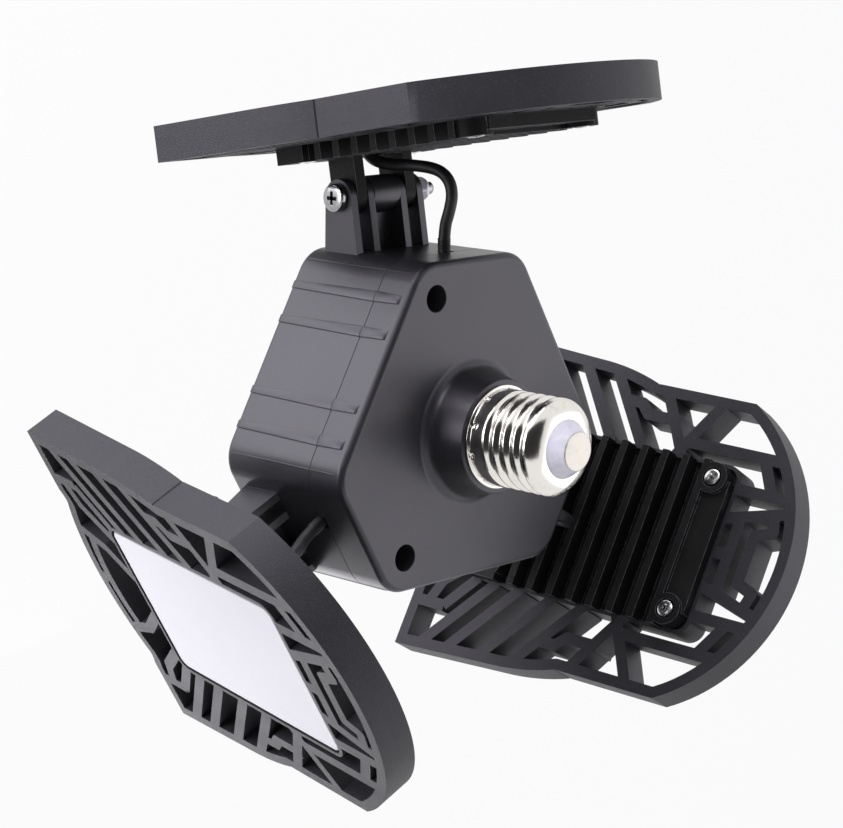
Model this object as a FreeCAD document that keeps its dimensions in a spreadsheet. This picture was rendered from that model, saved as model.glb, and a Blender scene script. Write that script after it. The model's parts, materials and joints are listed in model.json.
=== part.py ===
import FreeCAD
import Part
import Sketcher
import math
import os

# Three-leaf folding ceiling light with a screw cap.
# Row frame: +Z points out of the screw cap along its axis, and the origin is on that axis, in
# the middle of the plain skirt of the cap. Heights in the sizes below are measured from the
# flat face of the rear cover. Each leaf hangs on a friction hinge on a short side of the housing.

# ---------------------------------------------------------------- driving sizes

SIZES = [
    # housing, a triangle with its corners cut off
    ("short_apothem", 47.3, "axis to a short side, which carries a hinge"),
    ("long_apothem", 40.4, "axis to a long side"),
    ("housing_depth", 45.1, "cover face to front face"),
    ("cover_depth", 12.1, "cover face to parting line"),
    ("corner_radius", 10.0, "upright corners"),
    ("face_rounding", 1.8, "edge of the two end faces"),
    ("housing_wall", 2.2, "side walls"),
    ("cover_plate", 2.6, "end wall of the rear cover"),
    ("front_plate", 2.6, "end wall of the front housing"),
    ("strip_width", 2.0, "shallow strips on the long sides"),
    ("strip_depth", 0.5, "shallow strips on the long sides"),
    ("strip_inner", 10.5, "middle of a long side to its inner strips"),
    ("strip_outer", 20.7, "middle of a long side to its outer strips"),
    ("strip_stop", 3.0, "cover face to the end of a strip"),
    # collar and screw cap
    ("collar_foot", 18.0, "collar radius at the cover face"),
    ("collar_top", 15.4, "collar radius at the cap flange"),
    ("collar_height", 10.8, "cover face to cap flange"),
    ("collar_sweep", 3.2, "hollow rounding at the foot of the collar"),
    ("spigot_height", 4.4, "plastic spigot inside the cap skirt"),
    ("spigot_bore", 9.5, "wire way through collar and spigot"),
    ("cap_radius", 13.2, "skirt and thread crest of the screw cap"),
    ("cap_sheet", 0.4, "sheet thickness of the cap"),
    ("cap_flange", 14.2, "radius of the flange of the cap"),
    ("flange_height", 0.7, "rolled edge of the flange"),
    ("skirt_height", 4.4, "plain skirt from flange to thread"),
    ("thread_pitch", 3.63, "rolled thread"),
    ("thread_depth", 1.0, "crest to root"),
    ("thread_turns", 4, "crests of the rolled thread"),
    ("cap_shoulder", 6.0, "height of the rounded end of the cap"),
    ("cap_mouth", 8.9, "radius where the cap ends at the insulator"),
    ("insulator_rise", 1.5, "insulator above the mouth of the cap"),
    ("contact_radius", 5.1, "centre contact"),
    ("contact_rise", 1.2, "dome of the centre contact"),
    # screws that hold the cover
    ("cover_screw_radial", 37.6, "distance along the short side's normal"),
    ("cover_screw_across", 13.9, "distance along the short side"),
    ("cover_hole", 3.6, "radius of the deep screw hole"),
    ("cover_hole_depth", 9.2, "depth of the deep screw hole"),
    ("post_radius", 5.2, "screw post"),
    ("screw_shank", 1.4, "radius of the cover and sink screws"),
    ("screw_gap", 0.2, "radial clearance of a screw in its hole"),
    ("cover_screw_head", 2.7, "head radius"),
    ("cover_screw_reach", 14.0, "length under the head"),
    # driver
    ("board_radius", 33.0, "round driver board"),
    ("board_sheet", 1.6, "board thickness"),
    ("board_level", 33.0, "cover face to the underside of the board"),
    ("standoff_radius", 3.2, "board standoff"),
    ("standoff_radial", 27.0, "axis to a board standoff"),
    # hinge
    ("hinge_radial", 61.84, "axis to the hinge bolt"),
    ("hinge_level", 34.9, "cover face to the hinge bolt"),
    ("hinge_offset", 2.7, "middle of a leaf to the middle of its hinge"),
    ("ear_sheet", 2.3, "thickness of one ear"),
    ("ear_slot", 4.3, "slot for a leaf arm between two ears"),
    ("ear_bay", 9.8, "clear width between the inner ears"),
    ("ear_radius", 5.0, "rounded top of an ear"),
    ("ear_foot_front", 5.3, "ear foot, hinge level to front edge"),
    ("ear_foot_rear", 7.5, "ear foot, hinge level to rear edge"),
    ("barrel_radius", 5.2, "round spacer between the inner ears"),
    ("web_sheet", 2.6, "cross web under the barrel"),
    ("bolt_radius", 2.0, "hinge bolt"),
    ("bolt_fit", 0.05, "radial clearance of the bolt in ears and arms"),
    ("bolt_reach", 35.6, "length under the head"),
    ("bolt_head_radius", 3.9, "pan head"),
    ("bolt_head_height", 2.5, "pan head"),
    ("nut_flats", 7.0, "across flats of the lock nut"),
    ("nut_hex_height", 3.3, "hexagon of the lock nut"),
    ("nut_collar_height", 1.7, "round collar of the lock nut"),
    ("nut_collar_radius", 3.0, "round collar of the lock nut"),
    ("seat_gap", 0.02, "face to face clearance of bolted pieces"),
    # leaf: across = along the hinge, along = away from it, level = towards the lamp side
    ("leaf_back", 15.1, "hinge to the back face of the grille"),
    ("leaf_depth", 9.9, "thickness of the grille"),
    ("heel_half", 51.5, "half width at the near end"),
    ("heel_along", 31.4, "hinge to the near end"),
    ("dome_half", 27.5, "half width of the bulge at the near end"),
    ("dome_rise", 5.1, "bulge beyond the near end"),
    ("notch_rise", 1.0, "shallow notch beside the bulge"),
    ("side_half", 49.6, "half width where the side starts to curve in"),
    ("side_along", 4.0, "hinge to that point"),
    ("waist_half", 45.6, "half width from the crease outwards"),
    ("waist_along", 26.5, "hinge to the crease"),
    ("shoulder_along", 60.5, "hinge to the corner of the round end"),
    ("tip_along", 87.2, "hinge to the tip"),
    ("side_bow", 0.85, "bow of the curve before the crease"),
    ("rim_width", 3.3, "outer rim of the grille"),
    ("rib_width", 3.5, "ribs of the grille"),
    ("frame_wall", 1.2, "wall round the lamp window"),
    # lamp
    ("lens_half", 24.5, "half width of the diffuser"),
    ("lens_near", 11.3, "hinge to the near edge of the diffuser"),
    ("lens_far", 62.6, "hinge to the far edge of the diffuser"),
    ("lens_radius", 3.2, "corners of the diffuser"),
    ("lens_sheet", 1.9, "diffuser thickness"),
    ("lens_sink", 0.2, "diffuser below the face of the grille"),
    ("lens_gap", 0.3, "clearance round the diffuser"),
    ("ledge_width", 1.0, "ledge that carries the diffuser"),
    ("ledge_depth", 1.5, "depth of that ledge"),
    ("pad_size", 8.4, "corner pads that take the sink screws"),
    # heat sink
    ("sink_face", 10.5, "hinge to the fin tips"),
    ("sink_half", 25.4, "half width of the fins"),
    ("fin_pitch", 7.2, "fin to fin"),
    ("fin_sheet", 2.3, "fin thickness"),
    ("fin_depth", 6.0, "valley depth"),
    ("fin_valleys", 8, "valleys between the fins"),
    ("step_along", 55.2, "hinge to the last fin"),
    ("step_drop", 1.3, "end step below the fin tips"),
    ("core_top", 19.0, "hinge to the lamp side of the core"),
    ("sink_screw_along", 57.4, "hinge to the far screws"),
    ("sink_screw_near", 6.2, "hinge to the near screws"),
    ("sink_screw_across", 20.3, "middle of the leaf to the screws"),
    ("boss_radius", 4.7, "screw boss on the sink"),
    ("boss_recess", 1.3, "depth of the recess in a boss"),
    ("sink_screw_head", 2.5, "head radius"),
    ("sink_screw_height", 1.6, "head height"),
    ("arm_sheet", 3.6, "thickness of a leaf arm"),
    ("arm_half", 5.0, "half width and end radius of a leaf arm"),
    ("led_sheet", 1.6, "lamp board"),
    ("led_gap", 0.25, "clearance of the lamp board to the pads"),
    ("chip_height", 0.7, "light emitter"),
    ("chip_columns", 6, "emitters across"),
    ("chip_rows", 7, "emitters along"),
    # cable
    ("cable_radius", 1.65, "leaf cable"),
    ("sleeve_radius", 1.95, "ribbed sleeve round the cable"),
    ("sleeve_gap", 0.05, "radial clearance of the cable in its sleeve"),
    ("sleeve_rise", 3.6, "sleeve outside the wall"),
    ("exit_across", -3.7, "middle of the leaf to the cable exit"),
    ("exit_level", 14.4, "cover face to the cable exit"),
    ("entry_across", 4.2, "middle of the leaf to the cable entry"),
    # photographed tilt of each leaf from upright
    ("tilt_1", 9.9, "degrees"),
    ("tilt_2", 8.9, "degrees"),
    ("tilt_3", 6.7, "degrees"),
]

doc = FreeCAD.newDocument("folding_light")
sheet = doc.addObject("Spreadsheet::Sheet", "sizes")
for row, (alias, value, meaning) in enumerate(SIZES, start=1):
    sheet.set("A%d" % row, alias)
    sheet.set("B%d" % row, str(value))
    sheet.set("C%d" % row, meaning)
    sheet.setAlias("B%d" % row, alias)
doc.recompute()


class Size:
    """A value together with the spreadsheet expression that gives it."""

    def __init__(self, value, text):
        self.value = value
        self.text = text

    def __float__(self):
        return float(self.value)

    def __neg__(self):
        return Size(-self.value, "(-1 * %s)" % self.text)

    def __add__(self, other):
        other = as_size(other)
        return Size(self.value + other.value, "(%s + %s)" % (self.text, other.text))

    def __sub__(self, other):
        other = as_size(other)
        return Size(self.value - other.value, "(%s - %s)" % (self.text, other.text))

    def __mul__(self, other):
        other = as_size(other)
        return Size(self.value * other.value, "(%s * %s)" % (self.text, other.text))

    def __truediv__(self, other):
        other = as_size(other)
        return Size(self.value / other.value, "(%s / %s)" % (self.text, other.text))

    __radd__ = __add__

    def __rsub__(self, other):
        return as_size(other) - self

    def __rmul__(self, other):
        return as_size(other) * self


def as_size(number):
    return number if isinstance(number, Size) else Size(number, "%.9f" % number)


class Sizes:
    """Every row of the sheet as an attribute."""


dim = Sizes()
for alias, value, meaning in SIZES:
    setattr(dim, alias, Size(value, "sizes." + alias))

LEAVES = (1, 2, 3)
TILTS = {1: dim.tilt_1, 2: dim.tilt_2, 3: dim.tilt_3}
TURN = 120.0                      # degrees from one leaf to the next
OVERLAP = 0.5                     # how far a joined form reaches into its neighbour
SHORT_EDGE = 1.0                  # upright edges under this length are no corners
LEAD_RADIUS = 0.8                 # leads between the screw cap and the driver


# ---------------------------------------------------------------- drawing helpers

def bind(item, path, size):
    """Set a property from the sheet."""
    item.setExpression(path, as_size(size).text)


def new_body(label):
    body = doc.addObject("PartDesign::Body", label)
    body.Label = label
    body.Placement = HOME
    return body


def origin_feature(body, role):
    return next(item for item in body.Origin.OriginFeatures if item.Role == role)


def new_sketch(body, role, level=None):
    sketch = body.newObject("Sketcher::SketchObject", body.Label + "_sketch")
    sketch.AttachmentSupport = [(origin_feature(body, role), "")]
    sketch.MapMode = "FlatFace"
    if level is not None:
        bind(sketch, "AttachmentOffset.Base.z", level)
    return sketch


def fix_point(sketch, item, point, x, y):
    """Tie one point of a sketch to its place, measured from the origin."""
    for kind, measure, axis in (("DistanceX", x, -2), ("DistanceY", y, -1)):
        if abs(float(measure)) < 1e-9:
            sketch.addConstraint(Sketcher.Constraint("PointOnObject", item, point, axis))
            continue
        rule = Sketcher.Constraint(kind, -1, 1, item, point, float(measure))
        index = sketch.addConstraint(rule)
        if isinstance(measure, Size):
            bind(sketch, "Constraints[%d]" % index, measure)


def polygon(sketch, corners):
    """A closed outline of straight lines through the given corners."""
    count = len(corners)
    first = int(sketch.GeometryCount)
    spots = [FreeCAD.Vector(float(x), float(y), 0) for x, y in corners]
    lines = [Part.LineSegment(spots[i], spots[(i + 1) % count]) for i in range(count)]
    sketch.addGeometry(lines, False)
    for i in range(count):
        following = first + (i + 1) % count
        sketch.addConstraint(Sketcher.Constraint("Coincident", first + i, 2, following, 1))
    for i, (x, y) in enumerate(corners):
        fix_point(sketch, first + i, 1, x, y)


def rectangle(sketch, x_low, x_high, y_low, y_high):
    polygon(sketch, [(x_low, y_low), (x_high, y_low), (x_high, y_high), (x_low, y_high)])


def circle(sketch, x, y, radius):
    item = int(sketch.GeometryCount)
    centre = FreeCAD.Vector(float(x), float(y), 0)
    sketch.addGeometry(Part.Circle(centre, FreeCAD.Vector(0, 0, 1), float(radius)), False)
    fix_point(sketch, item, 3, x, y)
    index = sketch.addConstraint(Sketcher.Constraint("Radius", item, float(radius)))
    bind(sketch, "Constraints[%d]" % index, radius)


def pad(body, sketch, length, downwards=False):
    feature = body.newObject("PartDesign::Pad", body.Label + "_pad")
    feature.Profile = sketch
    feature.Reversed = downwards
    bind(feature, "Length", length)
    sketch.Visibility = False
    doc.recompute()
    return feature


def pocket(body, sketch, length, upwards=False):
    """A pocket that has to take material away."""
    before = body.Shape.Volume
    feature = body.newObject("PartDesign::Pocket", body.Label + "_pocket")
    feature.Profile = sketch
    feature.Reversed = upwards
    bind(feature, "Length", length)
    doc.recompute()
    if feature.Shape.Volume > before - 1e-6:
        raise RuntimeError("a pocket of %s cuts nothing" % body.Label)
    return feature


def revolution(body, corners):
    """A turned form about Z, from a closed outline of (radius, height) corners."""
    sketch = new_sketch(body, "XZ_Plane")
    polygon(sketch, corners)
    feature = body.newObject("PartDesign::Revolution", body.Label + "_turned")
    feature.Profile = sketch
    feature.ReferenceAxis = (sketch, ["V_Axis"])
    feature.Angle = 360.0
    doc.recompute()
    return feature


def polar_pattern(body, features, copies=3):
    pattern = body.newObject("PartDesign::PolarPattern", body.Label + "_round")
    pattern.Originals = features
    pattern.Axis = (origin_feature(body, "Z_Axis"), [""])
    pattern.Angle = 360.0
    pattern.Occurrences = copies
    body.Tip = pattern
    doc.recompute()
    return pattern


def round_edges(body, chosen, radius):
    """Fillet the edges of the body's last feature that pass the test."""
    doc.recompute()
    base = body.Tip
    names = ["Edge%d" % (i + 1) for i, edge in enumerate(base.Shape.Edges) if chosen(edge)]
    if not names:
        raise RuntimeError("no edge of %s to round" % body.Label)
    fillet = body.newObject("PartDesign::Fillet", body.Label + "_fillet")
    fillet.Base = (base, names)
    bind(fillet, "Radius", radius)
    doc.recompute()
    return fillet


def is_upright(edge):
    """True for a straight edge along Z."""
    if len(edge.Vertexes) != 2 or not isinstance(edge.Curve, Part.Line):
        return False
    low, high = (vertex.Point for vertex in edge.Vertexes)
    return math.hypot(low.x - high.x, low.y - high.y) < 1e-6 and edge.Length > SHORT_EDGE


def lies_at(edge, height):
    """True for an edge that lies all along at one height."""
    box = edge.BoundBox
    return abs(box.ZMin - height) < 1e-4 and abs(box.ZMax - height) < 1e-4


def shape_feature(label, shape, placement=None):
    """A sub-part whose form is worked out with plain solids."""
    feature = doc.addObject("Part::Feature", label)
    feature.Label = label
    feature.Shape = shape
    place = HOME if placement is None else placement
    feature.Placement = place.multiply(shape.Placement)
    return feature


def turned(x, y, degrees):
    """A plan point of numbers or sizes, turned about Z."""
    c = math.cos(math.radians(degrees))
    s = math.sin(math.radians(degrees))
    return x * c - y * s, x * s + y * c


# ---------------------------------------------------------------- places

flange_base = dim.collar_height + dim.seat_gap
thread_base = flange_base + dim.skirt_height
thread_top = thread_base + dim.thread_pitch * dim.thread_turns
mouth_level = thread_top + dim.cap_shoulder

# the cover face lies this far below the origin, which is in the middle of the plain skirt
origin_height = flange_base + (dim.flange_height + dim.skirt_height) / 2
HOME = FreeCAD.Placement(FreeCAD.Vector(0, 0, -float(origin_height)), FreeCAD.Rotation())


def leaf_placement(leaf):
    """Leaf frame: X across, Y along, Z towards the lamp side, origin on the hinge."""
    azimuth = math.radians(90.0 + TURN * (leaf - 1))
    tilt = math.radians(float(TILTS[leaf]))
    outward = FreeCAD.Vector(math.cos(azimuth), math.sin(azimuth), 0)
    upward = FreeCAD.Vector(0, 0, 1)
    across = FreeCAD.Vector(-math.sin(azimuth), math.cos(azimuth), 0)
    along = upward * math.cos(tilt) + outward * math.sin(tilt)
    lampwards = outward * math.cos(tilt) - upward * math.sin(tilt)
    place = outward * float(dim.hinge_radial) - upward * float(dim.hinge_level)
    facing = FreeCAD.Rotation(across, along, lampwards, "ZYX")
    return HOME.multiply(FreeCAD.Placement(place, facing))


def side_placement(leaf):
    """The frame of the first hinge side turned to the side of this leaf."""
    turn = FreeCAD.Rotation(FreeCAD.Vector(0, 0, 1), TURN * (leaf - 1))
    return HOME.multiply(FreeCAD.Placement(FreeCAD.Vector(0, 0, 0), turn))


# across positions, seen from the middle of the leaf; +X of the first side is minus across
ear_inner_face = dim.ear_bay / 2
ear_slot_inner = ear_inner_face + dim.ear_sheet
ear_slot_outer = ear_slot_inner + dim.ear_slot
ear_outer_face = ear_slot_outer + dim.ear_sheet
arm_middle = (ear_slot_inner + ear_slot_outer) / 2

window_half = dim.lens_half + dim.lens_gap
window_near = dim.lens_near + dim.lens_gap
window_far = dim.lens_far + dim.lens_gap
lens_top = dim.leaf_back + dim.leaf_depth - dim.lens_sink
lens_bottom = lens_top - dim.lens_sheet
ledge_bottom = lens_bottom - dim.ledge_depth


# ---------------------------------------------------------------- housing shells

def housing_outline(sketch, inset):
    """The triangle with cut corners, drawn a given distance inside the outer wall."""
    short = dim.short_apothem - inset
    long = dim.long_apothem - inset
    half = (long - short * math.cos(math.radians(60))) / math.sin(math.radians(60))
    corners = []
    for side in range(3):
        corners.append(turned(half, short, TURN * side))
        corners.append(turned(-half, short, TURN * side))
    polygon(sketch, corners)


def strip_grooves(body, level, length):
    """Shallow strips on the long sides, cut downwards from a level."""
    sketch = new_sketch(body, "XY_Plane", level)
    floor = dim.long_apothem - dim.strip_depth
    proud = dim.long_apothem + OVERLAP
    for middle in (-dim.strip_outer, -dim.strip_inner, dim.strip_inner, dim.strip_outer):
        low = middle - dim.strip_width / 2
        high = middle + dim.strip_width / 2
        # the long side faces -Y, so the strips are drawn there
        rectangle(sketch, low, high, -proud, -floor)
    cut = pocket(body, sketch, length)
    return polar_pattern(body, [cut])


def screw_posts(body, level, length, hole_radius, hole_level, hole_depth):
    """Three round posts and their holes, both measured downwards from a level."""
    post = new_sketch(body, "XY_Plane", level)
    circle(post, -dim.cover_screw_across, dim.cover_screw_radial, dim.post_radius)
    post_pad = pad(body, post, length, downwards=True)
    hole = new_sketch(body, "XY_Plane", hole_level)
    circle(hole, -dim.cover_screw_across, dim.cover_screw_radial, hole_radius)
    hole_cut = pocket(body, hole, hole_depth)
    return polar_pattern(body, [post_pad, hole_cut])


def ear_outline(sketch):
    """Side view of an ear in (radius, height): tapered foot, straight edges to a round top."""
    foot = dim.short_apothem - OVERLAP
    level = -dim.hinge_level
    rear = (float(dim.ear_foot_rear) - float(dim.ear_radius))
    lean = math.atan2(rear, float(dim.hinge_radial) - float(dim.short_apothem))
    rear_touch = dim.hinge_radial + dim.ear_radius * math.sin(lean)
    rear_height = level + dim.ear_radius * math.cos(lean)
    polygon(sketch, [(foot, level - dim.ear_foot_front), (foot, level + dim.ear_foot_rear),
                     (rear_touch, rear_height), (dim.hinge_radial, level - dim.ear_radius)])


def hinge_ears(body):
    """Four ears, the barrel and its web on the first side, with the bolt hole through all."""
    features = []
    for inner in (-ear_outer_face, -ear_slot_inner, ear_inner_face, ear_slot_outer):
        start = inner - dim.hinge_offset
        foot = new_sketch(body, "YZ_Plane", start)
        ear_outline(foot)
        features.append(pad(body, foot, dim.ear_sheet))
        top = new_sketch(body, "YZ_Plane", start)
        circle(top, dim.hinge_radial, -dim.hinge_level, dim.ear_radius)
        features.append(pad(body, top, dim.ear_sheet))
    start = -ear_inner_face - dim.hinge_offset
    barrel = new_sketch(body, "YZ_Plane", start)
    circle(barrel, dim.hinge_radial, -dim.hinge_level, dim.barrel_radius)
    features.append(pad(body, barrel, dim.ear_bay))
    web = new_sketch(body, "YZ_Plane", start)
    rectangle(web, dim.short_apothem - OVERLAP, dim.hinge_radial,
              -dim.hinge_level - dim.web_sheet / 2, -dim.hinge_level + dim.web_sheet / 2)
    features.append(pad(body, web, dim.ear_bay))
    hole = new_sketch(body, "YZ_Plane", ear_outer_face - dim.hinge_offset + OVERLAP)
    circle(hole, dim.hinge_radial, -dim.hinge_level, dim.bolt_radius + dim.bolt_fit)
    features.append(pocket(body, hole, ear_outer_face * 2 + 2 * OVERLAP))
    return polar_pattern(body, features)


def cable_notch(body):
    """Notches in the edge of the front housing that take the cable sleeves."""
    inside = dim.short_apothem - dim.housing_wall - OVERLAP
    sketch = new_sketch(body, "XZ_Plane", -inside)
    circle(sketch, -dim.exit_across, -dim.exit_level, dim.sleeve_radius)
    round_cut = pocket(body, sketch, dim.housing_wall + 2 * OVERLAP)
    mouth = new_sketch(body, "XZ_Plane", -inside)
    rectangle(mouth, -dim.exit_across - dim.sleeve_radius, -dim.exit_across + dim.sleeve_radius,
              -dim.exit_level, -dim.cover_depth + OVERLAP)
    mouth_cut = pocket(body, mouth, dim.housing_wall + 2 * OVERLAP)
    return polar_pattern(body, [round_cut, mouth_cut])


def board_standoffs(body):
    """Three standoffs on the long sides with pilot holes for the board screws."""
    floor = -dim.housing_depth + dim.front_plate
    height = dim.housing_depth - dim.front_plate - dim.board_level
    post = new_sketch(body, "XY_Plane", floor - OVERLAP)
    circle(post, 0, -dim.standoff_radial, dim.standoff_radius)
    post_pad = pad(body, post, height + OVERLAP)
    hole = new_sketch(body, "XY_Plane", -dim.board_level)
    circle(hole, 0, -dim.standoff_radial, dim.screw_shank + dim.seat_gap)
    hole_cut = pocket(body, hole, height - OVERLAP)
    return polar_pattern(body, [post_pad, hole_cut])


def front_housing():
    body = new_body("front_housing")
    parting = -dim.cover_depth
    outline = new_sketch(body, "XY_Plane", parting)
    housing_outline(outline, as_size(0))
    pad(body, outline, dim.housing_depth - dim.cover_depth, downwards=True)
    round_edges(body, is_upright, dim.corner_radius)
    front = float(-dim.housing_depth)
    round_edges(body, lambda edge: lies_at(edge, front), dim.face_rounding)
    cavity = new_sketch(body, "XY_Plane", parting)
    housing_outline(cavity, dim.housing_wall)
    pocket(body, cavity, dim.housing_depth - dim.cover_depth - dim.front_plate)
    round_edges(body, is_cavity_corner, dim.corner_radius - dim.housing_wall)
    strip_grooves(body, parting, dim.housing_depth - dim.cover_depth)
    screw_posts(body, parting, dim.housing_depth - dim.cover_depth - dim.front_plate + OVERLAP,
                dim.screw_shank + dim.seat_gap, parting, dim.cover_screw_reach)
    board_standoffs(body)
    hinge_ears(body)
    cable_notch(body)
    return body


def is_cavity_corner(edge):
    """True for the upright edges where the cavity outline still has its sharp corners."""
    if not is_upright(edge):
        return False
    spot = edge.Vertexes[0].Point
    short = float(dim.short_apothem - dim.housing_wall)
    long = float(dim.long_apothem - dim.housing_wall)
    half = (long - short * math.cos(math.radians(60))) / math.sin(math.radians(60))
    return abs(math.hypot(spot.x, spot.y) - math.hypot(short, half)) < 1e-3


def rear_cover():
    body = new_body("rear_cover")
    outline = new_sketch(body, "XY_Plane")
    housing_outline(outline, as_size(0))
    pad(body, outline, dim.cover_depth, downwards=True)
    round_edges(body, is_upright, dim.corner_radius)
    round_edges(body, lambda edge: lies_at(edge, 0.0), dim.face_rounding)
    cavity = new_sketch(body, "XY_Plane", -dim.cover_depth)
    housing_outline(cavity, dim.housing_wall)
    pocket(body, cavity, dim.cover_depth - dim.cover_plate, upwards=True)
    round_edges(body, is_cavity_corner, dim.corner_radius - dim.housing_wall)
    spigot_radius = dim.cap_radius - dim.cap_sheet - dim.seat_gap
    revolution(body, [(dim.spigot_bore, -dim.cover_plate), (dim.collar_foot, -dim.cover_plate),
                      (dim.collar_foot, 0), (dim.collar_top, dim.collar_height),
                      (spigot_radius, dim.collar_height),
                      (spigot_radius, dim.collar_height + dim.spigot_height),
                      (dim.spigot_bore, dim.collar_height + dim.spigot_height)])
    foot = float(dim.collar_foot)

    def collar_foot(edge):
        return lies_at(edge, 0.0) and abs(edge.BoundBox.XMax - foot) < 1e-3

    round_edges(body, collar_foot, dim.collar_sweep)
    bore = new_sketch(body, "XY_Plane", OVERLAP)
    circle(bore, 0, 0, dim.spigot_bore)
    pocket(body, bore, dim.cover_plate + 2 * OVERLAP)
    screw_posts(body, -dim.cover_plate + OVERLAP, dim.cover_depth - dim.cover_plate + OVERLAP,
                dim.cover_hole, 0, dim.cover_hole_depth)
    clearance = new_sketch(body, "XY_Plane", -dim.cover_hole_depth + OVERLAP)
    circle(clearance, -dim.cover_screw_across, dim.cover_screw_radial,
           dim.screw_shank + dim.screw_gap)
    clearance_cut = pocket(body, clearance, dim.cover_depth)
    polar_pattern(body, [clearance_cut])
    strip_grooves(body, -dim.strip_stop, dim.cover_depth)
    return body


# ---------------------------------------------------------------- screw cap

def arc_edge(start, middle, end):
    spots = [FreeCAD.Vector(x, 0, z) for x, z in (start, middle, end)]
    return Part.Arc(*spots).toShape()


def line_edge(start, end):
    return Part.makeLine(FreeCAD.Vector(start[0], 0, start[1]), FreeCAD.Vector(end[0], 0, end[1]))


def cap_shell():
    """Sheet cap: flange, plain skirt, rolled thread rings and a rounded shoulder."""
    crest = float(dim.cap_radius) - 0.05
    root = crest - float(dim.thread_depth)
    sheet_gap = float(dim.cap_sheet)
    base = float(flange_base)
    skirt = float(dim.cap_radius)
    pitch = float(dim.thread_pitch)
    start = float(thread_base)
    flange = float(dim.cap_flange)
    lip = base + float(dim.flange_height)
    top = float(thread_top)
    mouth = (float(dim.cap_mouth), float(mouth_level))
    middle = (crest + root) / 2
    edges = [line_edge((skirt - sheet_gap, base), (flange, base)),
             line_edge((flange, base), (flange, lip)),
             line_edge((flange, lip), (skirt, lip)),
             line_edge((skirt, lip), (skirt, start)),
             line_edge((skirt, start), (middle, start))]
    for turn in range(int(dim.thread_turns.value)):
        low = start + pitch * turn
        valley = (middle, low), (root, low + pitch / 4), (middle, low + pitch / 2)
        ridge = (middle, low + pitch / 2), (crest, low + 0.75 * pitch), (middle, low + pitch)
        edges.append(arc_edge(*valley))
        edges.append(arc_edge(*ridge))
    shoulder = (crest, top + 1.0)
    bulge = (crest - 1.1, top + float(dim.cap_shoulder) * 0.66)
    edges.append(line_edge((middle, top), shoulder))
    edges.append(arc_edge(shoulder, bulge, mouth))
    inner_mouth = (mouth[0] - 0.3, mouth[1] - sheet_gap)
    inner_shoulder = (root - sheet_gap, top + 1.0)
    inner_bulge = (root - sheet_gap - 0.8, bulge[1] - sheet_gap)
    edges.append(line_edge(mouth, inner_mouth))
    edges.append(arc_edge(inner_mouth, inner_bulge, inner_shoulder))
    edges.append(line_edge(inner_shoulder, (root - sheet_gap, start + 0.3)))
    edges.append(line_edge((root - sheet_gap, start + 0.3), (skirt - sheet_gap, start + 0.3)))
    edges.append(line_edge((skirt - sheet_gap, start + 0.3), (skirt - sheet_gap, base)))
    profile = Part.Face(Part.Wire(edges))
    solid = profile.revolve(FreeCAD.Vector(0, 0, 0), FreeCAD.Vector(0, 0, 1), 360)
    return shape_feature("cap_shell", solid)


def cap_insulator():
    body = new_body("cap_insulator")
    seat = mouth_level - dim.cap_sheet
    plug = dim.contact_radius + 1.2
    revolution(body, [(dim.contact_radius - 1.4, seat - 3.0), (plug, seat - 3.0),
                      (plug, seat - 0.3), (dim.cap_mouth - 0.35, mouth_level + dim.seat_gap),
                      (dim.cap_mouth - 0.7, mouth_level + 0.45),
                      (dim.contact_radius + 0.1, mouth_level + dim.insulator_rise),
                      (dim.contact_radius - 1.4, mouth_level + dim.insulator_rise)])
    return body


def cap_contact():
    """Domed contact with its rivet stem."""
    body = new_body("cap_contact")
    base = mouth_level + dim.insulator_rise + dim.seat_gap
    stem = dim.contact_radius - 1.6
    revolution(body, [(0, mouth_level - 4.0), (stem, mouth_level - 4.0), (stem, base),
                      (dim.contact_radius, base), (dim.contact_radius - 0.5, base + 0.6),
                      (dim.contact_radius * 0.55, base + dim.contact_rise * 0.9),
                      (0, base + dim.contact_rise)])
    return body


# ---------------------------------------------------------------- fasteners

def screw_shape(head_radius, head_height, shank_radius, reach, recess):
    """Pan head screw: the head stands on z = 0 and the shank runs down from it."""
    head = Part.makeCylinder(head_radius, head_height)
    rim = [edge for edge in head.Edges if lies_at(edge, head_height)]
    head = head.makeFillet(head_height * 0.45, rim)
    shank = Part.makeCylinder(shank_radius, reach, FreeCAD.Vector(0, 0, -reach))
    tip = [edge for edge in shank.Edges if lies_at(edge, -reach)]
    shank = shank.makeChamfer(shank_radius * 0.25, tip)
    length = head_radius * 1.05
    width = head_radius * 0.24
    cross = None
    for size_x, size_y in ((length, width), (width, length)):
        corner = FreeCAD.Vector(-size_x / 2, -size_y / 2, head_height - recess)
        bar = Part.makeBox(size_x, size_y, recess * 2, corner)
        cross = bar if cross is None else cross.fuse(bar)
    return head.fuse(shank).removeSplitter().cut(cross)


def placed(shape, place, direction):
    """A copy of a shape with its Z axis along a direction, moved to a place."""
    copy = shape.copy()
    rotation = FreeCAD.Rotation(FreeCAD.Vector(0, 0, 1), direction)
    copy.Placement = FreeCAD.Placement(place, rotation)
    return copy


def cover_screws():
    screw = screw_shape(float(dim.cover_screw_head), 2.0, float(dim.screw_shank),
                        float(dim.cover_screw_reach), 1.1)
    level = -float(dim.cover_hole_depth) + float(dim.seat_gap)
    solids = []
    for side in range(3):
        x, y = turned(-float(dim.cover_screw_across), float(dim.cover_screw_radial), TURN * side)
        solids.append(placed(screw, FreeCAD.Vector(x, y, level), FreeCAD.Vector(0, 0, 1)))
    return shape_feature("cover_screws", Part.makeCompound(solids))


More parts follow.
